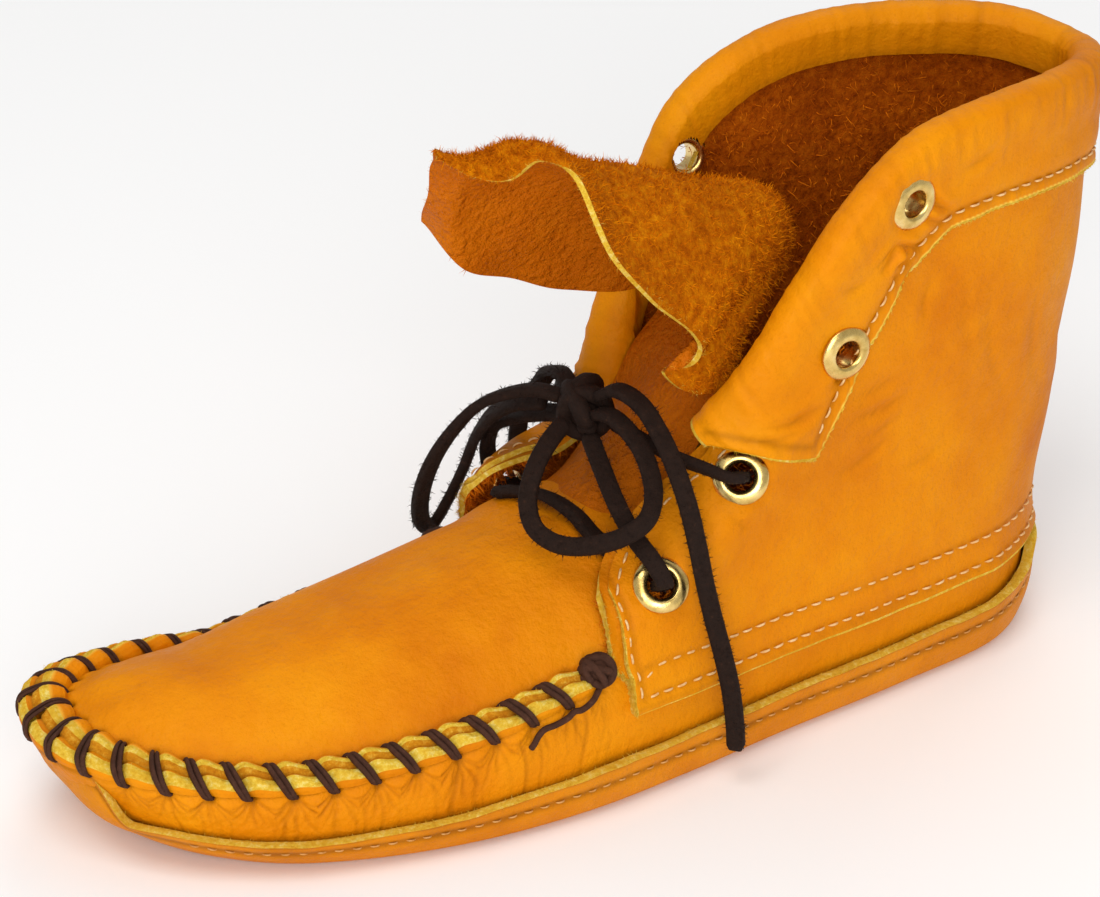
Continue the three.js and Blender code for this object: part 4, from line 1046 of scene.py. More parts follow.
knot = make_knot()
for name, route, replaced, twist, far_end, with_pieces in (
        ("bow_loop_outer", loop_outer_route, "lace_loop_outer", 0.8, "object", [knot]),
        ("bow_loop_inner", loop_inner_route, "lace_loop_inner", 1.0, "object", ()),
        ("lace_tail_outer", end_outer_route, "lace_end_outer", 0.9, "bare", ()),
        ("lace_tail_inner", end_inner_route, "lace_end_inner", 0.7, "bare", ())):
    lace_strand(name, np.array(route) + knot_place, replaced, twist)
lace_strand("lace_over_instep", np.vstack([bar_hidden_end, bar_route]), "lace_bar")
for name, eyelet, mouth, route, replaced in (
        ("lace_from_lower_outer", "outer_4", rise_mouth, rise_outer_route, "lace_rise_outer"),
        ("lace_from_lower_inner", "inner_4", rise_mouth, rise_inner_route, "lace_rise_inner"),
        ("lace_from_upper_outer", "outer_3", cross_mouth, cross_outer_route, "lace_cross_outer"),
        ("lace_from_upper_inner", "inner_3", cross_mouth, cross_inner_route, "lace_cross_inner")):
    lace_strand(name, from_eyelet(eyelet, mouth, route), replaced)
make_eyelets()


# Sole: a cup of leather turned up round the foot, with a raw top edge

sole_edge = {
    "along": [0.00, 0.02, 0.05, 0.10, 0.40, 0.56, 0.72, 0.86, 0.93],
    "rise": [0.575, 0.54, 0.42, 0.37, 0.345, 0.33, 0.27, 0.26, 0.32],
}
sole_toe_rise = 0.93
sole_toe_start = 0.960
sole_toe_full = 0.984
sole_toe_tuck = 2.3
sole_stitch_end = 0.925
sole_stitch_drop = 4.3
sole_stitch_climb = 1.7
sole_lip = 0.55
sole_lip_depth = 3.4
sole_edge_crown = 0.35
floor_inset = 16.0
floor_rim_insets = (11.0, 6.0, 1.4)
# Length and width of the fibres on a raw edge
edge_hair = (0.8, 0.13)
seam_hair = (0.7, 0.13)
around = np.concatenate([shares(421), np.linspace(-1, 0, 421)[1:-1]])


def sole_edge_share(s):
    along = along_at(s)
    rise = look_up(sole_edge, "rise", along) * seam_height
    low = np.clip((rise - wall_foot(s)) / wall_depth(s), 0.12, 0.9)
    toe = ease(sole_toe_start, sole_toe_full, along)
    return low + (sole_toe_rise - low) * toe


def sole_skin(s, level, out):
    """The sole's side: level is 0 at the floor and 1 at its top edge, out is from the wall."""
    arc = arc_at(s)
    out = out - sole_toe_tuck * hump(arc, 3, 15) * (1 - 0.45 * level**3)
    wavy = 1 + 0.022 * waves(arc, 23, 5) * level**3
    point = wall(s, sole_edge_share(s) * level * wavy, out)
    point[..., 2] -= (out - sole_gap) * 0.75 * (1 - level) ** 4
    return point


def sole_floor(s, inset, height=0.0):
    point = wall(s, 0.0, -inset)
    point[..., 2] = spring_at(point[..., 0]) + height
    return point


def floor_middle(s, height=0.0):
    return (sole_floor(s, floor_inset, height) + sole_floor(-s, floor_inset, height)) / 2


def make_sole():
    piece = Piece()
    s = around
    arc = arc_at(s)
    levels = shares(19)[:, None]
    high = (sole_edge_share(s) * wall_depth(s))[None, :]
    below_edge = (1 - levels) * high
    stitch_drop = sole_stitch_drop - sole_stitch_climb * ease(0.55, 0.82, along_at(s))
    groove = hump(below_edge, stitch_drop, 1.0)
    lip = sole_lip * np.clip(1 - below_edge / sole_lip_depth, 0, 1) ** 1.5
    ripple = 0.22 * waves(arc, 11, 8)[None, :] * levels**2 + 0.30 * waves(arc, 31, 9)[None, :] * levels
    out = sole_gap + sole_leather + lip - 0.40 * groove + ripple
    outside = sole_skin(s[None, :], levels, out)
    inside = sole_skin(s[None, :], levels[::-1], sole_gap + ripple[::-1] * 0.5)
    centre = floor_middle(s)
    floor = centre + (sole_floor(s, floor_inset) - centre) * shares(4)[:, None, None]
    rim = np.stack([sole_floor(s, inset) for inset in floor_rim_insets])
    edge_top = outside[-1] * 0.5 + inside[0] * 0.5 + [0, 0, sole_edge_crown]
    # Painted shade in the stitch groove, a darker line just under the top edge, and uneven tone.
    shade = 0.55 * groove + 0.35 * hump(below_edge, 0, 0.5) + 0.15 * waves(arc, 17, 6)[None, :] * levels
    shades = np.pad(shade, ((len(floor) + len(rim), 0), (0, 0)))
    piece.grid(np.concatenate([floor, rim, outside]), 0, shades, around=True, flip=True)
    piece.grid(np.stack([outside[-1], edge_top, inside[0]]), 1, around=True, flip=True)
    # The sole's inside: raw edge material with painted shade.
    lining = sole_floor(s, floor_inset, sole_thickness)
    piece.grid(np.concatenate([inside, lining[None]]), 1, 0.4, around=True, flip=True)
    band = np.stack([outside[-1], inside[0]])
    edge_fuzz(piece, [band], (0, 0, 1), 5200, *edge_hair, 21, kind=1)
    piece.finish("moccasin_sole", [sole_look, edge_look], ["sole"])
    seam = Piece()
    row = sole_skin(s, 1 - stitch_drop / high[0], sole_gap + sole_leather - 0.2)
    away = unit(row - sole_skin(s, 1 - stitch_drop / high[0], 0.0))
    level_part = outline(s)[0] < sole_stitch_end * shoe_length
    stitch_row(seam, row[level_part], away[level_part], long=2.6, wide=0.46, sink=0.45)
    seam.finish("sole_stitches", [tan_stitch_look])


make_sole()


# Side wall, gathered under the toe seam

whip_reach = 14
hang_depth = 12
wall_hole_drop = 0.5
wall_end = 136.0
plug_end = 128.0
seam_end = 137.0
knot_end = 149.0
whip_end = 152
far_seam_drop = 0.45
flange_out = 0.5
flange_rise = 1.4
flange_gap = 0.15
tuck_rounds = (0.14, 0.86)
tuck_up = 0.75
tuck_from = 90
tuck_to = 165
tuck_most = 9
crease_count = 80
crease_makers = np.random.default_rng(31)
crease_sizes = crease_makers.uniform(0.2, 1.0, (crease_count, 7))
crease_leans = crease_makers.normal(0, 0.10, (crease_count, 7))
crease_fans = (-1.25, -0.85, -0.52, -0.24, 0.05, 0.40, 0.95)


def whip_beat(arc):
    """Place counted in wraps, the arc past the nearest wrap, and 0 at a wrap to 1 between two."""
    place = arc / whip_pitch
    return place, (place - np.round(place)) * whip_pitch, 0.5 - 0.5 * np.cos(2 * math.pi * place)


def gathers(s, drop):
    """Relief and shade of the side wall by the distance below the seam."""
    arc = arc_at(s)
    on = ridge_share(s) * (0.30 + 0.70 * ease(20, 45, np.abs(arc)))
    place, offset, between = whip_beat(arc)
    number = np.round(place).astype(int) + crease_count // 2
    sizes, leans = crease_sizes[number], crease_leans[number]
    below = drop - wall_hole_drop
    hole = hump(offset, 0, 1.1) * hump(below, 0.2, 1.1)
    pillow = between * hump(drop, 2.2, 2.6)
    bow = 2.9 * np.sin(math.pi * np.abs(place - np.floor(place))) * (0.75 + 0.4 * sizes[..., 2])
    fold = hump(below, bow, 0.42) * ease(0.05, 0.35, between)
    creases = 0
    for j, fan in enumerate(crease_fans):
        size = sizes[..., j]
        wiggle = 0.25 * np.sin(drop * 0.9 + 9 * size)
        centre = offset - (fan + leans[..., j]) * below * (1 + 0.02 * drop) - wiggle
        length = 5 + 11 * sizes[..., (j + 3) % 7] * (1 - 0.45 * abs(fan))
        crease = (0.35 + 0.65 * size) * hump(centre, 0, 0.34 + 0.02 * drop)
        creases = creases + crease * ease(0.2, 1.8, below) * (1 - ease(length * 0.5, length, below))
    wander = arc + 0.8 * np.sin(drop / 3.1 + 4 * sizes[..., 5]) + 0.10 * drop * np.sin(arc / 7)
    pleats = np.clip(waves(wander, 2.7, 91), 0, 1) * np.clip(0.55 + waves(arc, 15, 92), 0, 1)
    pleats = pleats * ease(2, 6, drop) * (1 - ease(11, 26, drop + 4 * waves(arc, 6, 93))) * ease(28, 60, arc)
    cobble = np.sin(arc * 1.9 + 2.2 * np.sin(drop * 0.8)) * np.sin(drop * 1.15 + 1.4 * np.sin(arc * 0.9))
    relief = 0.85 * pillow - 1.25 * hole - 0.20 * fold - 0.42 * creases
    relief = relief + 0.10 * cobble * hump(drop, 5.5, 4.0) - 0.34 * pleats
    # The shade is painted shade in the wrap holes, folds, creases and pleats.
    return on * relief, on * np.clip(0.9 * hole + 0.16 * fold + 0.30 * creases + 0.34 * pleats, 0, 1)


def ridge_hang(s, out):
    overhang = look_up(wall_sections, "overhang", along_at(s)) * ball_width
    return overhang * np.clip(1 + out / ridge_width, 0, 1)


def seam_space(s, out, rise):
    """A place by the toe seam: out from the wall and up from the seam."""
    on = ridge_share(s)
    up = np.clip(1 + np.minimum(rise, 0) / wall_depth(s), 0, 1)
    hang = ridge_hang(s, out) * ease(-hang_depth, 0, rise)
    point = wall(s, up, (out + hang) * on)
    point[..., 2] += np.maximum(rise, 0) * on * (1 - far_seam_drop * far_side(s))
    return point


def make_wall():
    piece = Piece()
    front = shares(470) * abs(float(s_at_place(1, wall_end)))
    half = np.concatenate([front, np.linspace(front[-1], 1, 60)[1:]])
    s = np.concatenate([half, -half[::-1][1:-1]])
    across = s[None, :]
    ups = np.concatenate([np.linspace(0, 0.3, 6)[:-1], np.linspace(0.3, 1, 52)])[:, None]
    depth = wall_depth(across)
    drop = (1 - ups) * depth
    relief, shade = gathers(across, drop)
    low = 0.35 * waves(arc_at(across), 37, 12) * hump(ups, 0.6, 0.4)
    hang = ridge_hang(across, 0.0) * ease(-hang_depth, 0, -drop) * ridge_share(across)
    body = wall(across, ups, relief + low + hang)
    flange = np.stack([seam_space(s, flange_gap + flange_out * r, flange_rise * r) for r in (0.5, 1.0)])
    # Painted shade on the wall along the sole's top edge.
    shade = shade + 0.35 * hump((ups - sole_edge_share(across)) * depth, 0, 1.0)
    shades = np.pad(shade, ((0, len(flange)), (0, 0)))
    piece.grid(np.concatenate([body, flange]), 0, shades, around=True, flip=True)
    # The wall's inside, with painted shade.
    inner = wall(across, ups[::6], -leather)
    piece.grid(inner[:, ::2], 1, 0.3, around=True)
    piece.finish("side_wall", [upper_look, lining_look], ["upper"])


def tucked(points, clearance=2.3, reach=16.0):
    """Plug points moved in where they would come through the quarters."""
    moved = points.copy()
    rounds = np.concatenate([np.linspace(0, tuck_rounds[0], 18), np.linspace(tuck_rounds[1], 1, 18)])[None, :]
    ups = np.linspace(0, tuck_up, 56)[:, None]
    cover = shaft(rounds, ups).reshape(-1, 3)
    out_of = shaft_normal(rounds, ups).reshape(-1, 3)
    for row, near_x in enumerate(points[..., 0]):
        near = np.flatnonzero((near_x < tuck_to) & (near_x > tuck_from))
        if not len(near):
            continue
        rel = points[row, near][:, None] - cover[None]
        best = np.argmin((rel**2).sum(axis=2), axis=1)
        rel = rel[np.arange(len(near)), best]
        normal = out_of[best]
        above = (rel * normal).sum(axis=1)
        aside = np.linalg.norm(rel - above[:, None] * normal, axis=1)
        push = np.clip(above + clearance, 0, tuck_most) * (1 - ease(1.5, reach, aside)) * (above < tuck_most)
        moved[row, near] -= normal * push[:, None]
    return moved


def both_ways(end, count):
    """Shares from the outline's place at the end on the inner side, by the tip, to the outer side."""
    first, last = (float(s_at_place(side, end)) for side in (-1, 1))
    return np.concatenate([np.linspace(first, 0, count), np.linspace(0, last, count)[1:]])


def make_plug():
    piece = Piece()
    s = both_ways(plug_end, 285)
    arc = arc_at(s)
    reach = np.concatenate([np.linspace(1, 0.86, 16), np.linspace(0.86, 0, 40)[1:]])[:, None]
    points = dome(s[None, :], reach)
    place, offset, between = whip_beat(arc - whip_along(whip_length, arc))
    from_edge = length_of(points - points[:1])[..., 0]
    on = ridge_share(s)[None, :]
    dents = hump(offset, 0, 1.25)[None, :] * hump(from_edge, 0.7, 1.1) * on
    puff = between[None, :] * hump(from_edge, 1.2, 1.8) * on
    trough = hump(from_edge, 3.6, 3.0) * on
    soft = 0.35 * np.sin(points[..., 0] / 19 + points[..., 1] / 13) * np.sin(points[..., 1] / 17 - 0.6)
    fold = 0.45 * hump(points[..., 0] + 0.15 * points[..., 1], 150, 5) * ease(0, 30, from_edge)
    points[..., 2] += -1.0 * dents + 0.35 * puff - 0.40 * trough + soft * ease(0, 12, from_edge) - fold
    swell = 2.4 * hump(from_edge, 17, 11) * ease(0.0, 0.45, reach) - 1.0 * hump(from_edge, 0, 4)
    points[..., 2] += far_side(s)[None, :] * swell
    points = tucked(points)
    # Painted shade in the wraps' dents and along the seam edge, and on the lining side under it.
    piece.grid(points, 0, 0.85 * dents + 0.25 * hump(from_edge, 0.2, 0.9) * on)
    piece.grid((points - [0, 0, leather])[::2, ::3], 1, 0.3, flip=True)
    piece.finish("toe_plug", [upper_look, lining_look])


# The wraps, from the hole in the wall over both edges to the hole in the plug: out and rise
whip_steps = np.array([
    (-0.60, -1.1), (0.50, -0.9), (1.10, -0.4), (1.35, 0.6), (1.30, 1.6), (1.00, 2.5), (0.40, 3.3),
    (-0.50, 4.0), (-1.45, 4.6), (-2.40, 5.15), (-3.30, 5.2), (-4.15, 4.6), (-4.75, 3.6),
    (-5.25, 2.6), (-5.60, 1.6),
])
whip_run = runs_of(whip_steps)
whip_length = whip_run[-1]
whip_lean = 5.0
whip_lean_side = 7.6
whip_spread = 0.74
whip_wide = 1.6
whip_thick = 0.88
loose_wide = 1.5
loose_thick = 1.2
knot_size = 4.6
knot_out_rise = (-1.4, 4.6)
seam_section = [
    # out, rise, material (raw edge 0, leather 1, core 2), painted shade (below 0 the pale worn colour)
    (0.75, -0.2, 1, 0.0), (1.05, 0.7, 1, 0.0), (1.00, 1.5, 1, 0.0), (0.85, 2.1, 0, 0.0), (0.45, 2.7, 0, 0.0),
    (-0.10, 3.25, 0, 0.0), (-0.65, 3.55, 0, 0.0), (-0.95, 3.35, 1, 0.15), (-1.20, 3.35, 1, 0.35),
    (-1.35, 3.9, 2, 0.10), (-1.60, 4.4, 2, 0.0), (-2.00, 4.95, 2, 0.0), (-2.50, 5.35, 0, 0.0),
    (-2.95, 5.45, 1, -0.5), (-3.45, 5.30, 1, 0.0), (-4.00, 4.8, 1, 0.0), (-4.50, 4.0, 1, 0.0),
    (-4.90, 3.0, 1, 0.1), (-5.50, 1.7, 1, 0.3),
]
seam_crest = 12
knot_rings = [
    # axis x, y, z, radius, shift along the axis
    (0.9, 0.3, 0.2, 0.84, -0.28), (0.9, 0.1, -0.3, 0.86, 0.22), (0.2, 0.9, 0.4, 0.80, 0.10),
    (-0.5, 0.6, 0.6, 0.86, -0.10), (0.5, 0.5, -0.7, 0.82, 0.05),
]
knot_shape = np.array([1.0, 0.85, 0.80])
# The loose end by the knot: arc past the last wrap's hole, out and rise
loose_end = [
    (5.0, 2.2, -1.0), (1.6, 2.2, -1.6), (0.0, 1.8, -1.4), (-2.0, 2.1, -1.8), (-5.5, 2.1, -2.0),
    (-8.6, 2.1, -1.8), (-10.2, 2.0, -2.6), (-11.4, 1.8, -4.0), (-12.4, 1.4, -5.2),
]


def whip_along(run, arc):
    """How far a wrap has moved along the seam after a run from its hole in the wall."""
    lean = whip_lean + (whip_lean_side - whip_lean) * ease(22, 50, arc)
    return -lean * (0.35 * ease(0.0, whip_length, run) + 0.65 * run / whip_length)


def make_toe_seam():
    """The two edges that stand up between plug and side wall, turned outward."""
    piece = Piece()
    s = both_ways(seam_end, 600)
    arc = arc_at(s)
    rows = []
    shades = []
    for out, rise, kind, dark in seam_section:
        run = whip_run[np.argmin(np.hypot(whip_steps[:, 0] - out, whip_steps[:, 1] - rise))]
        place, offset, between = whip_beat(arc - whip_along(run, arc))
        tight = hump(offset, 0, 1.6)
        high = np.clip(rise / 3, 0, 1)
        wander = 0.22 * waves(arc, 6, 40 + int(rise * 10)) * (kind == 0)
        twist = 0.50 * np.sin(2 * math.pi * place) * (1 - tight)
        o = out + (0.40 * between - 0.25 * tight) * np.clip((out + 2.6) / 2, -1, 1) + 0.6 * wander
        r = rise + high * (0.80 * between - 0.85 * tight + twist) + 0.6 * wander
        rows.append(seam_space(s, o, r))
        # Painted shade where the wraps pinch the edges.
        shades.append(0.55 * tight + dark)
    points = np.stack(rows)
    shade = np.clip(np.stack(shades), -1, 1)
    for row in range(len(seam_section) - 1):
        kind = seam_section[row + 1 if row < seam_crest else row][2]
        piece.grid(points[row:row + 2], kind, shade[row:row + 2])
    for first, last, count, seed in ((3, 7, 5200, 50), (seam_crest - 1, seam_crest + 2, 4200, 51)):
        pale = points[first:last]
        fuzz(piece, pale, -grid_normals(pale), count, *seam_hair, seed)
    piece.finish("toe_seam_edges", [edge_look, upper_look, core_look])


def seam_strand(piece, steps, count, fine, wide, thick, square):
    """A strand by steps of arc, out and rise in the seam's space."""
    route = np.array([seam_space(s_at_arc(a), o, r) for a, o, r in steps])
    line = evenly(curve_at(route, shares(fine)), count)
    tube(piece, line, wide, thick, 8, square)


def whip_strand(piece, arc, shift):
    spread = shift * (0.40 + 0.60 * np.sin(math.pi * whip_run / whip_length))
    arcs = arc + whip_along(whip_run, arc) + spread
    seam_strand(piece, np.column_stack([arcs, whip_steps]), 26, 90, whip_wide, whip_thick, 0.5)


def thread_ball(piece, centre, size):
    """A hard little knot of flat thread round a round core."""
    turn = np.linspace(0, 2 * math.pi, 31)[:, None]
    for *way, radius, shift in knot_rings:
        axis = unit(np.array(way))
        u = unit(np.cross(axis, [0.1, 0.2, 1.0]))
        v = np.cross(axis, u)
        ring = radius * (np.cos(turn) * u + np.sin(turn) * v) + shift * axis
        tube(piece, centre + size * ring * knot_shape, size * 0.50, size * 0.40, 10, 0.4)
    piece.grid(centre + ball(30, 0.74 * size * knot_shape), around=True)


def make_whip():
    piece = Piece()
    for arc in whip_pitch * np.arange(-whip_reach, whip_reach + 1):
        if outline(s_at_arc(arc))[0] < whip_end:
            continue
        wobble = rng.normal(0, 0.3)
        for shift in (-whip_spread, whip_spread):
            whip_strand(piece, arc + wobble, shift)
    for side in (1, -1):
        end = float(arc_at(s_at_place(side, knot_end)))
        last = math.floor(abs(end) / whip_pitch) * whip_pitch * side
        while outline(s_at_arc(last))[0] < whip_end:
            last -= whip_pitch * side
        thread_ball(piece, seam_space(s_at_arc(end), *knot_out_rise), knot_size)
        steps = [(end, 1.2, 1.0)] + [(last + past * side, out, rise) for past, out, rise in loose_end]
        seam_strand(piece, steps, 120, 120, loose_wide, loose_thick, 0.3)
    piece.finish("whip_thread", [whip_look])


make_wall()
make_plug()
make_toe_seam()
make_whip()


# Quarters and shaft: an outer layer over a lining layer whose edge shows in front

creases = [
    # side, from (x, z), to (x, z), width, depth
    (1, (71.9, 119.4), (67.5, 125.9), 1.5, 0.9), (1, (67.5, 125.9), (60.2, 123.2), 1.4, 0.9),
    (1, (73.7, 121.3), (69.4, 125.5), 1.2, 0.6), (1, (68.2, 119.4), (63.2, 123.0), 1.3, 0.7),
    (1, (66.0, 113.0), (61.0, 119.0), 1.3, 0.6), (1, (58.9, 136.2), (50.7, 129.8), 1.7, 0.8),
    (1, (60.5, 132.0), (53.0, 127.5), 1.3, 0.6), (1, (100.3, 85.3), (86.9, 88.5), 1.8, 0.6),
    (1, (85.0, 91.7), (78.1, 97.6), 1.6, 0.5), (1, (82.9, 117.8), (75.6, 118.2), 1.8, 0.35),
    (1, (104.0, 82.0), (93.0, 84.0), 1.4, 0.35), (1, (48.0, 140.0), (39.0, 143.0), 1.8, 0.35),
    (1, (77.7, 86.5), (61.0, 89.4), 2.2, 0.45), (1, (76.5, 80.7), (59.6, 82.6), 2.0, 0.50),
    (1, (79.6, 66.2), (63.2, 73.4), 2.2, 0.40), (1, (74.0, 74.0), (60.0, 78.0), 1.8, 0.35),
    (1, (111.9, 67.0), (105.6, 60.1), 2.0, 0.45), (1, (36.5, 105.7), (26.9, 70.8), 2.4, 0.35),
    (1, (54.3, 111.9), (55.8, 100.5), 1.7, 0.45), (1, (44.0, 108.0), (38.0, 84.0), 2.0, 0.30),
    (1, (117.7, 69.5), (117.1, 57.8), 2.4, 0.35), (1, (20.0, 100.0), (13.0, 66.0), 2.4, 0.35),
    (1, (4.0, 92.0), (-4.0, 62.0), 2.4, 0.40), (1, (60.0, 62.0), (46.0, 66.0), 2.2, 0.30),
    (-1, (76.0, 106.0), (66.0, 111.0), 1.8, 0.60), (-1, (86.0, 74.0), (64.0, 82.0), 2.2, 0.50),
    (-1, (80.0, 66.0), (58.0, 70.0), 2.2, 0.45), (-1, (36.0, 104.0), (28.0, 70.0), 2.4, 0.40),
    (-1, (108.0, 52.0), (98.0, 60.0), 2.0, 0.45), (-1, (12.0, 96.0), (4.0, 64.0), 2.4, 0.40),
    (-1, (60.0, 124.0), (50.0, 134.0), 1.8, 0.60), (-1, (62.0, 118.0), (54.0, 126.0), 1.6, 0.50),
]
crease_sharpness = 0.8
layer_edge = 2.8
stitch_from_edge = 5.6
quarter_face = 0.85
quarter_back = -0.55
lining_face = -0.65
lining_back = -2.0
lining_hairs = 20000
lining_hair = (2.5, 0.27)
lining_edge_hair = (1.1, 0.13)
quarter_edge_hair = (0.7, 0.12)
front_wave_run = 90
# Heights of the two stitch rows above the quarters' lower edge
stitch_heights = (3.3, 10.2)
# How far the two layers stand back from the outer side's front edge, by up
front_edges = {
    "along": [0.00, 0.10, 0.20, 0.35, 0.50, 0.60, 0.80, 0.92, 1.00],
    "outer": [-2.7, -2.9, -3.0, -2.6, -1.1, 0.0, 1.8, 3.2, 5.0],
    "lining": [-2.1, -2.3, -2.5, -3.0, -3.9, -3.8, -2.8, -1.2, 1.6],
}
column_lengths = length_of(np.diff(shaft_points, axis=0))[..., 0].sum(axis=0)
row_steps = length_of(np.diff(shaft_points, axis=1))[..., 0]
forward_hairs = (1.0, 0, 0.3)


def crease_relief(points):
    """Listed creases as troughs with soft sides, and their shade."""
    relief = np.zeros(points.shape[:-1])
    shade = np.zeros(points.shape[:-1])
    for side, start, end, width, depth in creases:
        run = np.array(end) - start
        long = math.hypot(*run)
        rel = points[..., [0, 2]] - start
        t = rel @ run / (run @ run)
        bow = 0.08 * long * np.sin(math.pi * np.clip(t, 0, 1))
        offset = (rel[..., 0] * run[1] - rel[..., 1] * run[0]) / long + bow
        width = width * crease_sharpness
        on = (t > -0.05) & (t < 1.05) & (points[..., 1] * side > 0)
        fade = np.sin(math.pi * np.clip(t * 0.9 + 0.05, 0, 1)) * on
        sides = hump(offset, 1.9 * width, width) + hump(offset, -1.9 * width, width)
        relief += fade * depth * (0.45 * sides - hump(offset, 0, width))
        # Painted shade along each trough.
        shade += fade * min(depth, 0.8) * 0.42 * hump(offset, 0, width * 0.38)
    return relief, shade


def slack(points, seed=0):
    """The leather's slow unevenness over the quarters."""
    x, y, z = np.moveaxis(points, -1, 0)
    a = np.sin(x / 17 + z / 11 + seed) * np.sin(z / 21 - x / 29 + 1.3)
    b = np.sin((x - z) / 7.5 + 0.7 * np.sin(z / 9) + seed) * np.sin((x + 2 * z) / 33)
    return 0.42 * a + 0.14 * b


def round_from_edge(side, up, distance):
    """The round at a distance from a front edge, for each up."""
    steps = row_steps if side > 0 else row_steps[:, ::-1]
    lengths = np.pad(np.cumsum(steps, axis=1), ((0, 0), (1, 0)))
    away = np.interp(grid_ups, *np.atleast_1d(*np.broadcast_arrays(up, distance)))
    found = np.array([np.interp(away[row], lengths[row], grid_rounds) for row in range(shaft_ups)])
    found = np.interp(up, grid_ups, found + np.minimum(away, 0) / edge_run)
    return found if side > 0 else 1 - found


def up_from_top(round_share, distance):
    return 1 - distance / np.interp(round_share, grid_rounds, column_lengths)


def up_at_height(round_share, height):
    """The up at which the columns reach a height above the floor, in the lower quarter of the shaft."""
    last = shaft_columns - 1
    column = np.clip(np.round(np.asarray(round_share) * last).astype(int), 0, last)
    low = shaft_ups // 4
    return np.array([np.interp(height, shaft_points[:low, c, 2], grid_ups[:low]) for c in column])


def layer_gap(up, side):
    """How far the outer layer stands back from the front edge."""
    return look_up(front_edges, "outer", up) if side > 0 else layer_edge * ease(0.0, 0.45, up)


def lining_gap(up, side):
    return look_up(front_edges, "lining", up) if side > 0 else 1.4 * ease(0.93, 1.0, up)


def between_edges(gap, ups, columns):
    """The first and last rounds of each row, and all its rounds, behind the gaps at both front edges."""
    first, last = (round_from_edge(side, ups, gap(ups, side))[:, None] for side in (1, -1))
    return first, last, first + (last - first) * columns


def make_quarters():
    piece = Piece()
    rows = np.concatenate([[0.0, 0.006], np.linspace(0.012, 1, 84)])
    columns = np.concatenate([[0.0, 0.0018], np.linspace(0.0036, 0.9964, 350), [0.9982, 1.0]])
    first, last, rounds = between_edges(layer_gap, rows, columns)
    open_throat = 1 - ease(cuff_start - 0.01, cuff_start + 0.02, rounds) * (
        1 - ease(cuff_end - 0.02, cuff_end + 0.01, rounds))
    ups = rows[:, None] * (1 - (1 - up_from_top(rounds, layer_edge)) * open_throat)
    base = shaft(rounds, ups)
    relief, shade = crease_relief(base)
    above = np.maximum(base[..., 2] - quarter_edge_height, 0)
    from_front = np.minimum(*(length_of(base - shaft(end, ups))[..., 0] for end in (first, last)))
    rows_groove = sum(hump(above, height, 0.9) for height in stitch_heights) * ease(3, 7, from_front)
    front_groove = hump(from_front, stitch_from_edge - 2.0, 1.1) * ease(1, 4, above)
    lower_lip = 0.45 * np.clip(1 - above / 2.5, 0, 1)
    relief = relief + slack(base) - 0.35 * rows_groove + lower_lip - press_in(base, 0.6)
    relief = relief + 0.25 * waves(base[..., 0], 13, 61) * hump(above, 0, 6)
    front = 1 - ease(0, 10, from_front)
    lift = 0.45 * (1 - ease(0, 3.2, from_front)) - 0.30 * front_groove
    lift = lift + 0.30 * waves(ups * front_wave_run, 11, 62) * front
    relief = relief * (1 - 0.6 * front) + lift
    worn = 0.45 * (1 - ease(0, 0.7, np.minimum(from_front, above)))
    outer = shaft(rounds, ups, quarter_face + relief - worn)
    inner = shaft(rounds, ups, quarter_back + relief * 0.8)
    # Painted shade in the stitch grooves and a darker line just above the lower edge; the inside face gets
    # painted shade too.
    shade = shade + 0.2 * rows_groove + 0.25 * front_groove + 0.2 * hump(above, 1.2, 0.5)
    shell(piece, outer, inner, (0, 0, 2), (shade, 0.5, 0.0), away_from_bores(base), 0)
    edge_fuzz(piece, (outer[:, :2], outer[:, -2:]), forward_hairs, 520, *quarter_edge_hair, 71)
    piece.finish("quarters", [upper_look, lining_look, edge_look])


def make_quarter_lining():
    """The inner layer: its raw edge stands out in front of the outer layer, its suede faces inside."""
    piece = Piece()
    rows = shares(80)
    ups = rows[:, None]
    columns = np.concatenate([[0.0, 0.002], np.linspace(0.004, 0.996, 210), [0.998, 1.0]])[None, :]
    rounds = between_edges(lining_gap, rows, columns)[2]
    run = ups * front_wave_run
    wavy = waves(run, 5, 63) * hump(columns, 0, 0.006) - waves(run, 5.5, 64) * hump(columns, 1, 0.006)
    rounds = rounds + 0.0014 * wavy
    base = shaft(rounds, ups)
    lift = 0.25 * slack(base) - press_in(base, 0.3)
    edge = 1 - ease(0, 0.010, np.minimum(columns, 1 - columns))
    face = shaft(rounds, ups, lining_face + lift + 0.5 * edge)
    back = shaft(rounds, ups, lining_back + lift * 0.5)
    shell(piece, face, back, (0, 1, 2), (0.12, 0.0, 0.0), away_from_bores(base), 0)
    fuzz(piece, back, -shaft_normal(rounds, ups), lining_hairs, *lining_hair, 70, kind=3, lean=0.75)
    edge_fuzz(piece, (face[:, :2], face[:, -2:]), forward_hairs, 900, *lining_edge_hair, 73, lean=1.0)
    piece.finish("quarter_lining", [upper_look, lining_look, edge_look, hair_look])


def smoothed(values, reach):
    """A running mean over reach values on both sides."""
    count = 2 * reach + 1
    return np.convolve(np.pad(values, reach, mode="edge"), np.ones(count) / count, mode="valid")


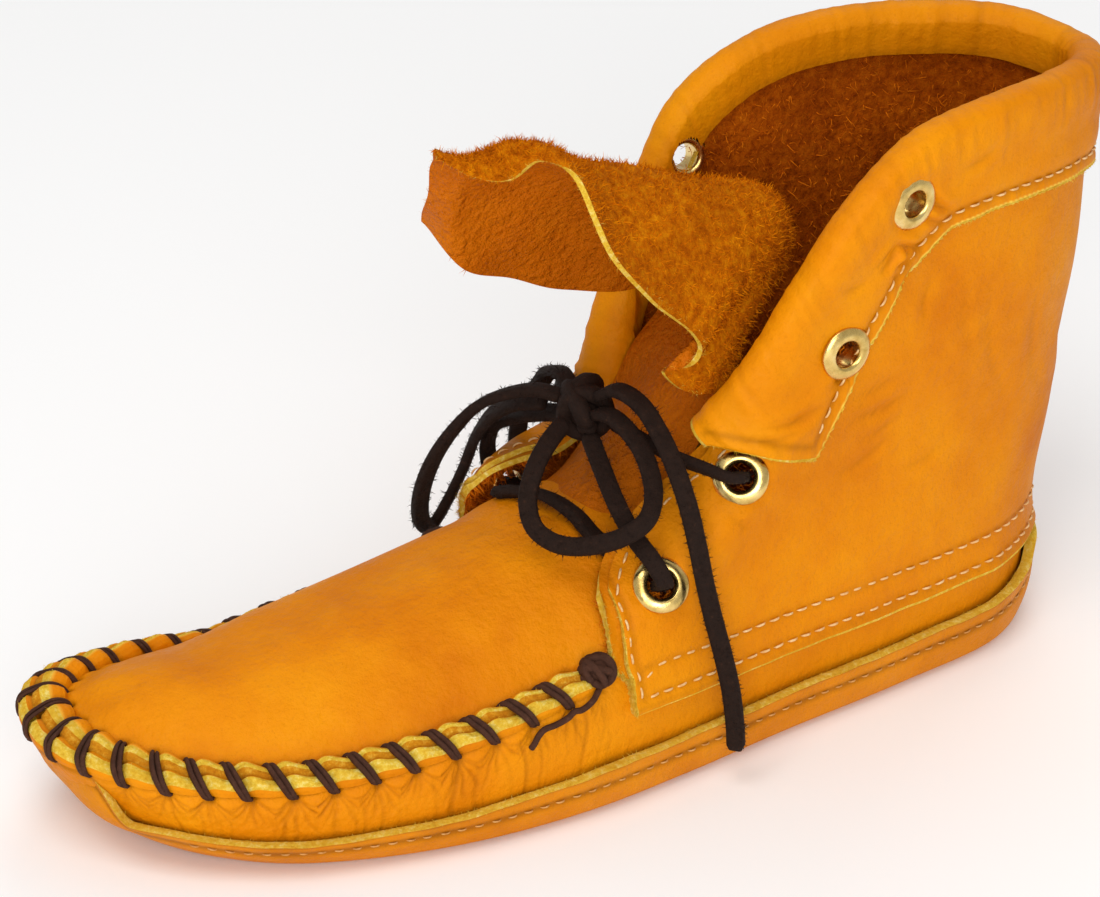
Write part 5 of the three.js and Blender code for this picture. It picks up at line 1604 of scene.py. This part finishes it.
def quarter_stitches():
    piece = Piece()
    near_edge = {1: 0.02, -1: 0.98}
    for height in stitch_heights:
        height = quarter_edge_height + height
        start, end = (float(round_from_edge(
            side, up_at_height([near_edge[side]], height)[0], 1.2)) for side in (1, -1))
        rounds = np.linspace(start, end, 500)
        ups = smoothed(up_at_height(rounds, height), 6)
        stitch_row(piece, shaft(rounds, ups, 0.75), shaft_normal(rounds, ups))
    for side, corner, cuff_side in ((1, 0.012, cuff_start + 0.005), (-1, 0.988, cuff_end - 0.005)):
        low = float(up_at_height([near_edge[side]], quarter_edge_height + stitch_heights[0])[0])
        ups = np.linspace(low, float(up_from_top(corner, stitch_from_edge)), 60)
        rounds = round_from_edge(side, ups, 2.5 + layer_gap(ups, side))
        along = np.linspace(rounds[-1], cuff_side, 60)[1:]
        ups = np.concatenate([ups, up_from_top(along, stitch_from_edge)])
        rounds = np.concatenate([rounds, along])
        share = shares(160)
        own = shares(len(rounds))
        normals = shaft_normal(np.interp(share, own, rounds), np.interp(share, own, ups))
        stitch_row(piece, evenly(shaft(rounds, ups, 1.0), 160), normals)
    zigzag = 0.5 + 0.0052 * np.where(np.arange(46) % 2 == 0, 1, -1)
    inside = shaft(zigzag, np.linspace(0.30, 0.90, 46), -3.0)
    tube(piece, curve_at(inside, shares(400)), 0.9, 0.9, 6)
    piece.finish("quarter_stitches", [stitch_look])


# Cuff: a padded band folded over the rim and down both front edges

cuff_rounds = np.linspace(cuff_start, cuff_end, 420)
rim_line = shaft(np.linspace(cuff_start, cuff_end, 181), 1.0)
cuff_stitch_reach = 3.8
cuff_front_reach = 1.25 * cuff_depth
cuff_highest_foot = 0.97
cuff_padding = 1.3
cuff_roll = 0.9
cuff_inside_lift = 0.15
cuff_inside_relief = 0.55
cuff_stitch_lead = 3.0


def nearest(points, line):
    """How far each point lies from the closest point of a line."""
    return length_of(points[..., None, :] - line)[..., 0].min(axis=-1)


def band_foot(depth):
    """How far up each column the band's lower edge lies."""
    ups = np.linspace(0.985, 0.0, 330)
    corners = shaft(cuff_start, 1.0), shaft(cuff_end, 1.0)
    found = []
    for round_share in cuff_rounds:
        points = shaft(round_share, ups)
        front = corners[0 if round_share < 0.5 else 1]
        floor = front[2] - (front[0] - points[:, 0]) * cuff_end_slope
        in_front = points[:, 0] > front[0] - cuff_front_reach
        over = (nearest(points, rim_line) > depth) | (in_front & (points[:, 2] < floor))
        found.append(ups[np.argmax(over)] if over.any() else 0.0)
    return smoothed(np.minimum(np.array(found), cuff_highest_foot), 2)


cuff_outer_foot = band_foot(cuff_depth)
cuff_inner_foot = band_foot(cuff_inner_depth)
cuff_edge_line = shaft(cuff_rounds, cuff_outer_foot)


def from_cuff_edge(points):
    """Distance of points from the cuff's lower edge."""
    return np.stack([nearest(row, cuff_edge_line[::2]) for row in points])


def cuff_row_ups(distance):
    """How far up each column a row runs at a distance from the cuff's lower edge."""
    ups = cuff_outer_foot + (1 - cuff_outer_foot) * np.linspace(0, 0.8, 120)[:, None]
    away = from_cuff_edge(shaft(cuff_rounds[None, :], ups))
    first = np.argmax(away > distance, axis=0)
    return smoothed(ups[first, np.arange(len(cuff_rounds))], 1)


def cuff_side_columns():
    """The columns of the cuff behind its two lower corners."""
    heights = cuff_edge_line[:, 2]
    half = len(heights) // 2
    return int(np.argmin(heights[:half])), half + int(np.argmin(heights[half:]))


def cuff_surface(lift, relief_scale=1.0):
    """One sheet of the cuff, from its outer lower edge over the rim to its inner lower edge."""
    rounds = cuff_rounds[None, :]
    near = stand_off(cuff_rounds)[None, :]
    rim = shaft(rounds, 1.0)
    rim_run = runs_of(rim[0])[None, :]
    column = np.interp(cuff_rounds, grid_rounds, column_lengths)[None, :]
    outer_ups = cuff_outer_foot + (1 - cuff_outer_foot) * shares(34)[:, None]
    outer_base = shaft(rounds, outer_ups)
    to_rim = (1 - outer_ups) * column
    from_edge = from_cuff_edge(outer_base)
    gathered = 0.30 * waves(rim_run, 5.2, 81) + 0.20 * waves(rim_run, 2.7, 82) + 0.30 * waves(rim_run, 19, 83)
    crease, shade = crease_relief(outer_base)
    padding = cuff_padding * hump(to_rim, 4.0, 6.0)
    groove = hump(from_edge, 3.9, 1.0)
    relief = padding + gathered * hump(to_rim, 0, 9) + crease * 1.7 + 0.5 * slack(outer_base, 2.0)
    relief = relief - 0.5 * groove + 0.35 * hump(from_edge, 8, 3) - press_in(outer_base, 0.7)
    relief = relief + 0.35 * waves(rim_run, 12, 84) * hump(from_edge, 0, 3)
    relief = relief - 0.45 * (1 - ease(0, 0.8, from_edge))
    edge_run_along = runs_of(cuff_edge_line)
    puckers = waves(edge_run_along, 3.2, 86) * (0.45 + 0.55 * hump(edge_run_along, 62, 30))
    relief = relief + 0.38 * puckers * hump(from_edge, 2.6, 2.4)
    first, last = cuff_side_columns()
    place = np.arange(len(cuff_rounds))
    behind = ease(first - 1, first + 2, place) * ease(last + 1, last - 2, place)
    worn = -1.0 * (1 - ease(0.7, 1.35, from_edge)) * behind
    relief = relief + 0.5 * groove * (1 - behind)
    outer = shaft(rounds, outer_ups, near + lift + relief * relief_scale)
    climb = unit(rim - shaft(rounds, 0.97))
    wide = near + lift + leather / 2 + padding[-1] * relief_scale
    high = near + lift + cuff_roll
    turn = np.linspace(0, math.pi, 13)[1:-1, None, None]
    roll = shaft(rounds, 1.0, -leather / 2) + (1 + 0.10 * gathered * relief_scale)[..., None] * (
        np.cos(turn) * shaft_normal(rounds, 1.0) * wide[..., None] + np.sin(turn) * climb * high[..., None])
    inner_ups = 1 - (1 - cuff_inner_foot) * shares(18)[:, None]
    inner_to_rim = (1 - inner_ups) * column
    inner_relief = cuff_padding * hump(inner_to_rim, 0, 7.0) + gathered * hump(inner_to_rim, 0, 10)
    inner = shaft(rounds, inner_ups, -leather - near - lift - inner_relief * relief_scale)
    base = np.concatenate([outer_base, np.broadcast_to(rim, roll.shape), shaft(rounds, inner_ups)])
    # Painted shade in creases, the stitch groove, gather troughs, puckers and the inner band's lower edge;
    # the worn term gives the pale worn colour.
    wrinkle = np.clip(-gathered, 0, 1)
    pucker_shade = 0.25 * np.clip(-puckers, 0, 1) * hump(from_edge, 2.6, 1.6)
    outer_shade = 1.3 * shade + 0.35 * groove + 0.3 * wrinkle * hump(to_rim, 0, 8) + pucker_shade + worn
    inner_shade = 0.35 * wrinkle + 0.35 * hump(inner_to_rim, inner_to_rim[-1:], 2.0)
    roll_shade = np.broadcast_to(0.3 * wrinkle, roll.shape[:2])
    return np.concatenate([outer, roll, inner]), base, np.concatenate([outer_shade, roll_shade, inner_shade])


def make_cuff():
    piece = Piece()
    outside, base, shades = cuff_surface(cuff_leather)
    inside = cuff_surface(cuff_inside_lift, cuff_inside_relief)[0]
    keep = away_from_bores(outside) & away_from_bores(base)
    # Painted shade on the cuff's inside and raw edges.
    shell(piece, outside[::-1], inside[::-1], (0, 1, 2), (shades[::-1], 0.4, 0.1), keep[::-1], 1)
    edge_fuzz(piece, [outside[:2]], (0, 0, -1), 1500, *edge_hair, 90)
    piece.finish("cuff_band", [cuff_look, lining_look, edge_look], ["cuff"])
    seam = Piece()
    first, last = cuff_side_columns()
    rounds = cuff_rounds[first + 1:last]
    ups = cuff_row_ups(cuff_stitch_reach)[first + 1:last]
    line = shaft(rounds, ups, stand_off(rounds) + cuff_leather - 0.1)
    normals = shaft_normal(rounds, ups)
    starts = [
        line[end] + unit(line[end] - line[inner]) * cuff_stitch_lead for end, inner in ((0, 4), (-1, -5))]
    line = np.concatenate([starts[:1], line, starts[1:]])
    stitch_row(seam, line, np.concatenate([normals[:1], normals, normals[-1:]]), sink=0.35)
    seam.finish("cuff_stitches", [stitch_look])


# Tongue: suede side up, smooth side under, with a raw edge that curls

tongue_near = [
    # down, x, y, z
    (0.00, 131.8, 24.0, 45.0), (0.10, 122.9, 21.6, 51.7), (0.20, 113.4, 16.8, 63.8),
    (0.30, 101.2, 18.0, 85.9), (0.34, 108.7, 19.0, 88.6), (0.38, 114.6, 19.0, 92.0),
    (0.41, 117.9, 18.0, 96.5), (0.44, 113.2, 18.5, 96.2), (0.48, 110.3, 19.5, 97.8),
    (0.52, 109.3, 20.5, 101.3), (0.56, 112.6, 21.5, 107.0), (0.60, 117.7, 22.0, 112.1),
    (0.66, 124.9, 23.0, 118.8), (0.73, 134.1, 24.0, 131.1), (0.79, 140.2, 23.0, 143.6),
    (0.84, 143.7, 18.0, 153.6), (0.88, 147.2, 10.0, 154.2), (0.92, 151.6, 5.0, 148.6),
    (0.955, 156.6, 0.0, 148.0), (1.00, 160.4, -8.0, 150.6),
]
tongue_thickness = 1.3
tongue_hairs = 27000
tongue_hair = (1.6, 0.26)
tongue_edge_hair = (1.0, 0.13)
tongue_tip_turn = 6
# A row and a column of the tongue's grid where its suede side faces up
tongue_flat_place = (130, 36)
insole_insets = (2.9, 5.0)
insole_skirt = 2.2
insole_height = sole_thickness + 3.4
insole_lip = 0.6


def tongue_points(across, down):
    near = np.array(tongue_near)
    fine = shares(400)
    order = np.interp(fine, shares(len(near)), near[:, 0])
    outer = read_line(down, order, curve_at(near[:, 1:], fine))
    sizes = np.array([shoe_length, tongue_width, shaft_height])
    crest, inner = (curve_at(np.array(rows) * sizes, down) for rows in (tongue_crest, tongue_inner))
    bulge = 2 * crest - (outer + inner) / 2
    return outer * (1 - across) ** 2 + 2 * bulge * across * (1 - across) + inner * across**2


def upward_normals(points):
    """Normals of the tongue's grid on its suede side."""
    normals = grid_normals(points)
    return -normals if normals[tongue_flat_place][2] < 0 else normals


def make_tongue():
    piece = Piece()
    d = shares(170)[:, None]
    a = shares(72)[None, :]
    points = tongue_points(a[..., None], d)
    ripple = 0.8 * np.sin(d * 40 + a * 5) * np.sin(a * 8 + 0.6) * ease(0.5, 0.7, d)
    ripple = ripple + 1.6 * hump(a, 1.0, 0.12) * np.sin(d * 34) * ease(0.6, 0.8, d)
    ripple = ripple + 0.5 * np.sin(d * 25) * np.sin(a * 12)
    points = points + upward_normals(points) * ripple[..., None]
    points[..., 1] -= tongue_tip_turn * np.clip((d - 0.93) / 0.07, 0, 1) ** 2
    normals = upward_normals(points)
    top, under = (points + normals * way * tongue_thickness / 2 for way in (1, -1))
    # The suede face gets painted shade, dark between its fibres.
    shell(piece, top, under, (0, 1, 2), (0.25, 0.0, 0.0))
    fuzz(piece, top, normals, tongue_hairs, *tongue_hair, 101, lean=0.9)
    edges = top[:, :2], top[-2:], top[:, -2:], under[:, :2]
    edge_fuzz(piece, edges, normals[:2, :2].mean((0, 1)), 650, *tongue_edge_hair, 102, lean=1.2)
    piece.finish(
        "tongue_flap", [tongue_suede_look, tongue_grain_look, edge_look], ["tongue"])


def make_insole():
    piece = Piece()
    s = around[::3]
    lip = sole_floor(s, insole_insets[0], insole_height - insole_lip)
    edge = sole_floor(s, floor_inset, insole_height)
    centre = floor_middle(s, insole_height)
    rings = [lip - [0, 0, insole_skirt], lip, sole_floor(s, insole_insets[1], insole_height), edge]
    rings += [centre + (edge - centre) * reach for reach in (0.66, 0.33, 0.0)]
    piece.grid(np.stack(rings), around=True)
    piece.finish("insole_sheet", [lining_look], ["insole"])


make_quarters()
make_quarter_lining()
quarter_stitches()
make_cuff()
make_tongue()
make_insole()
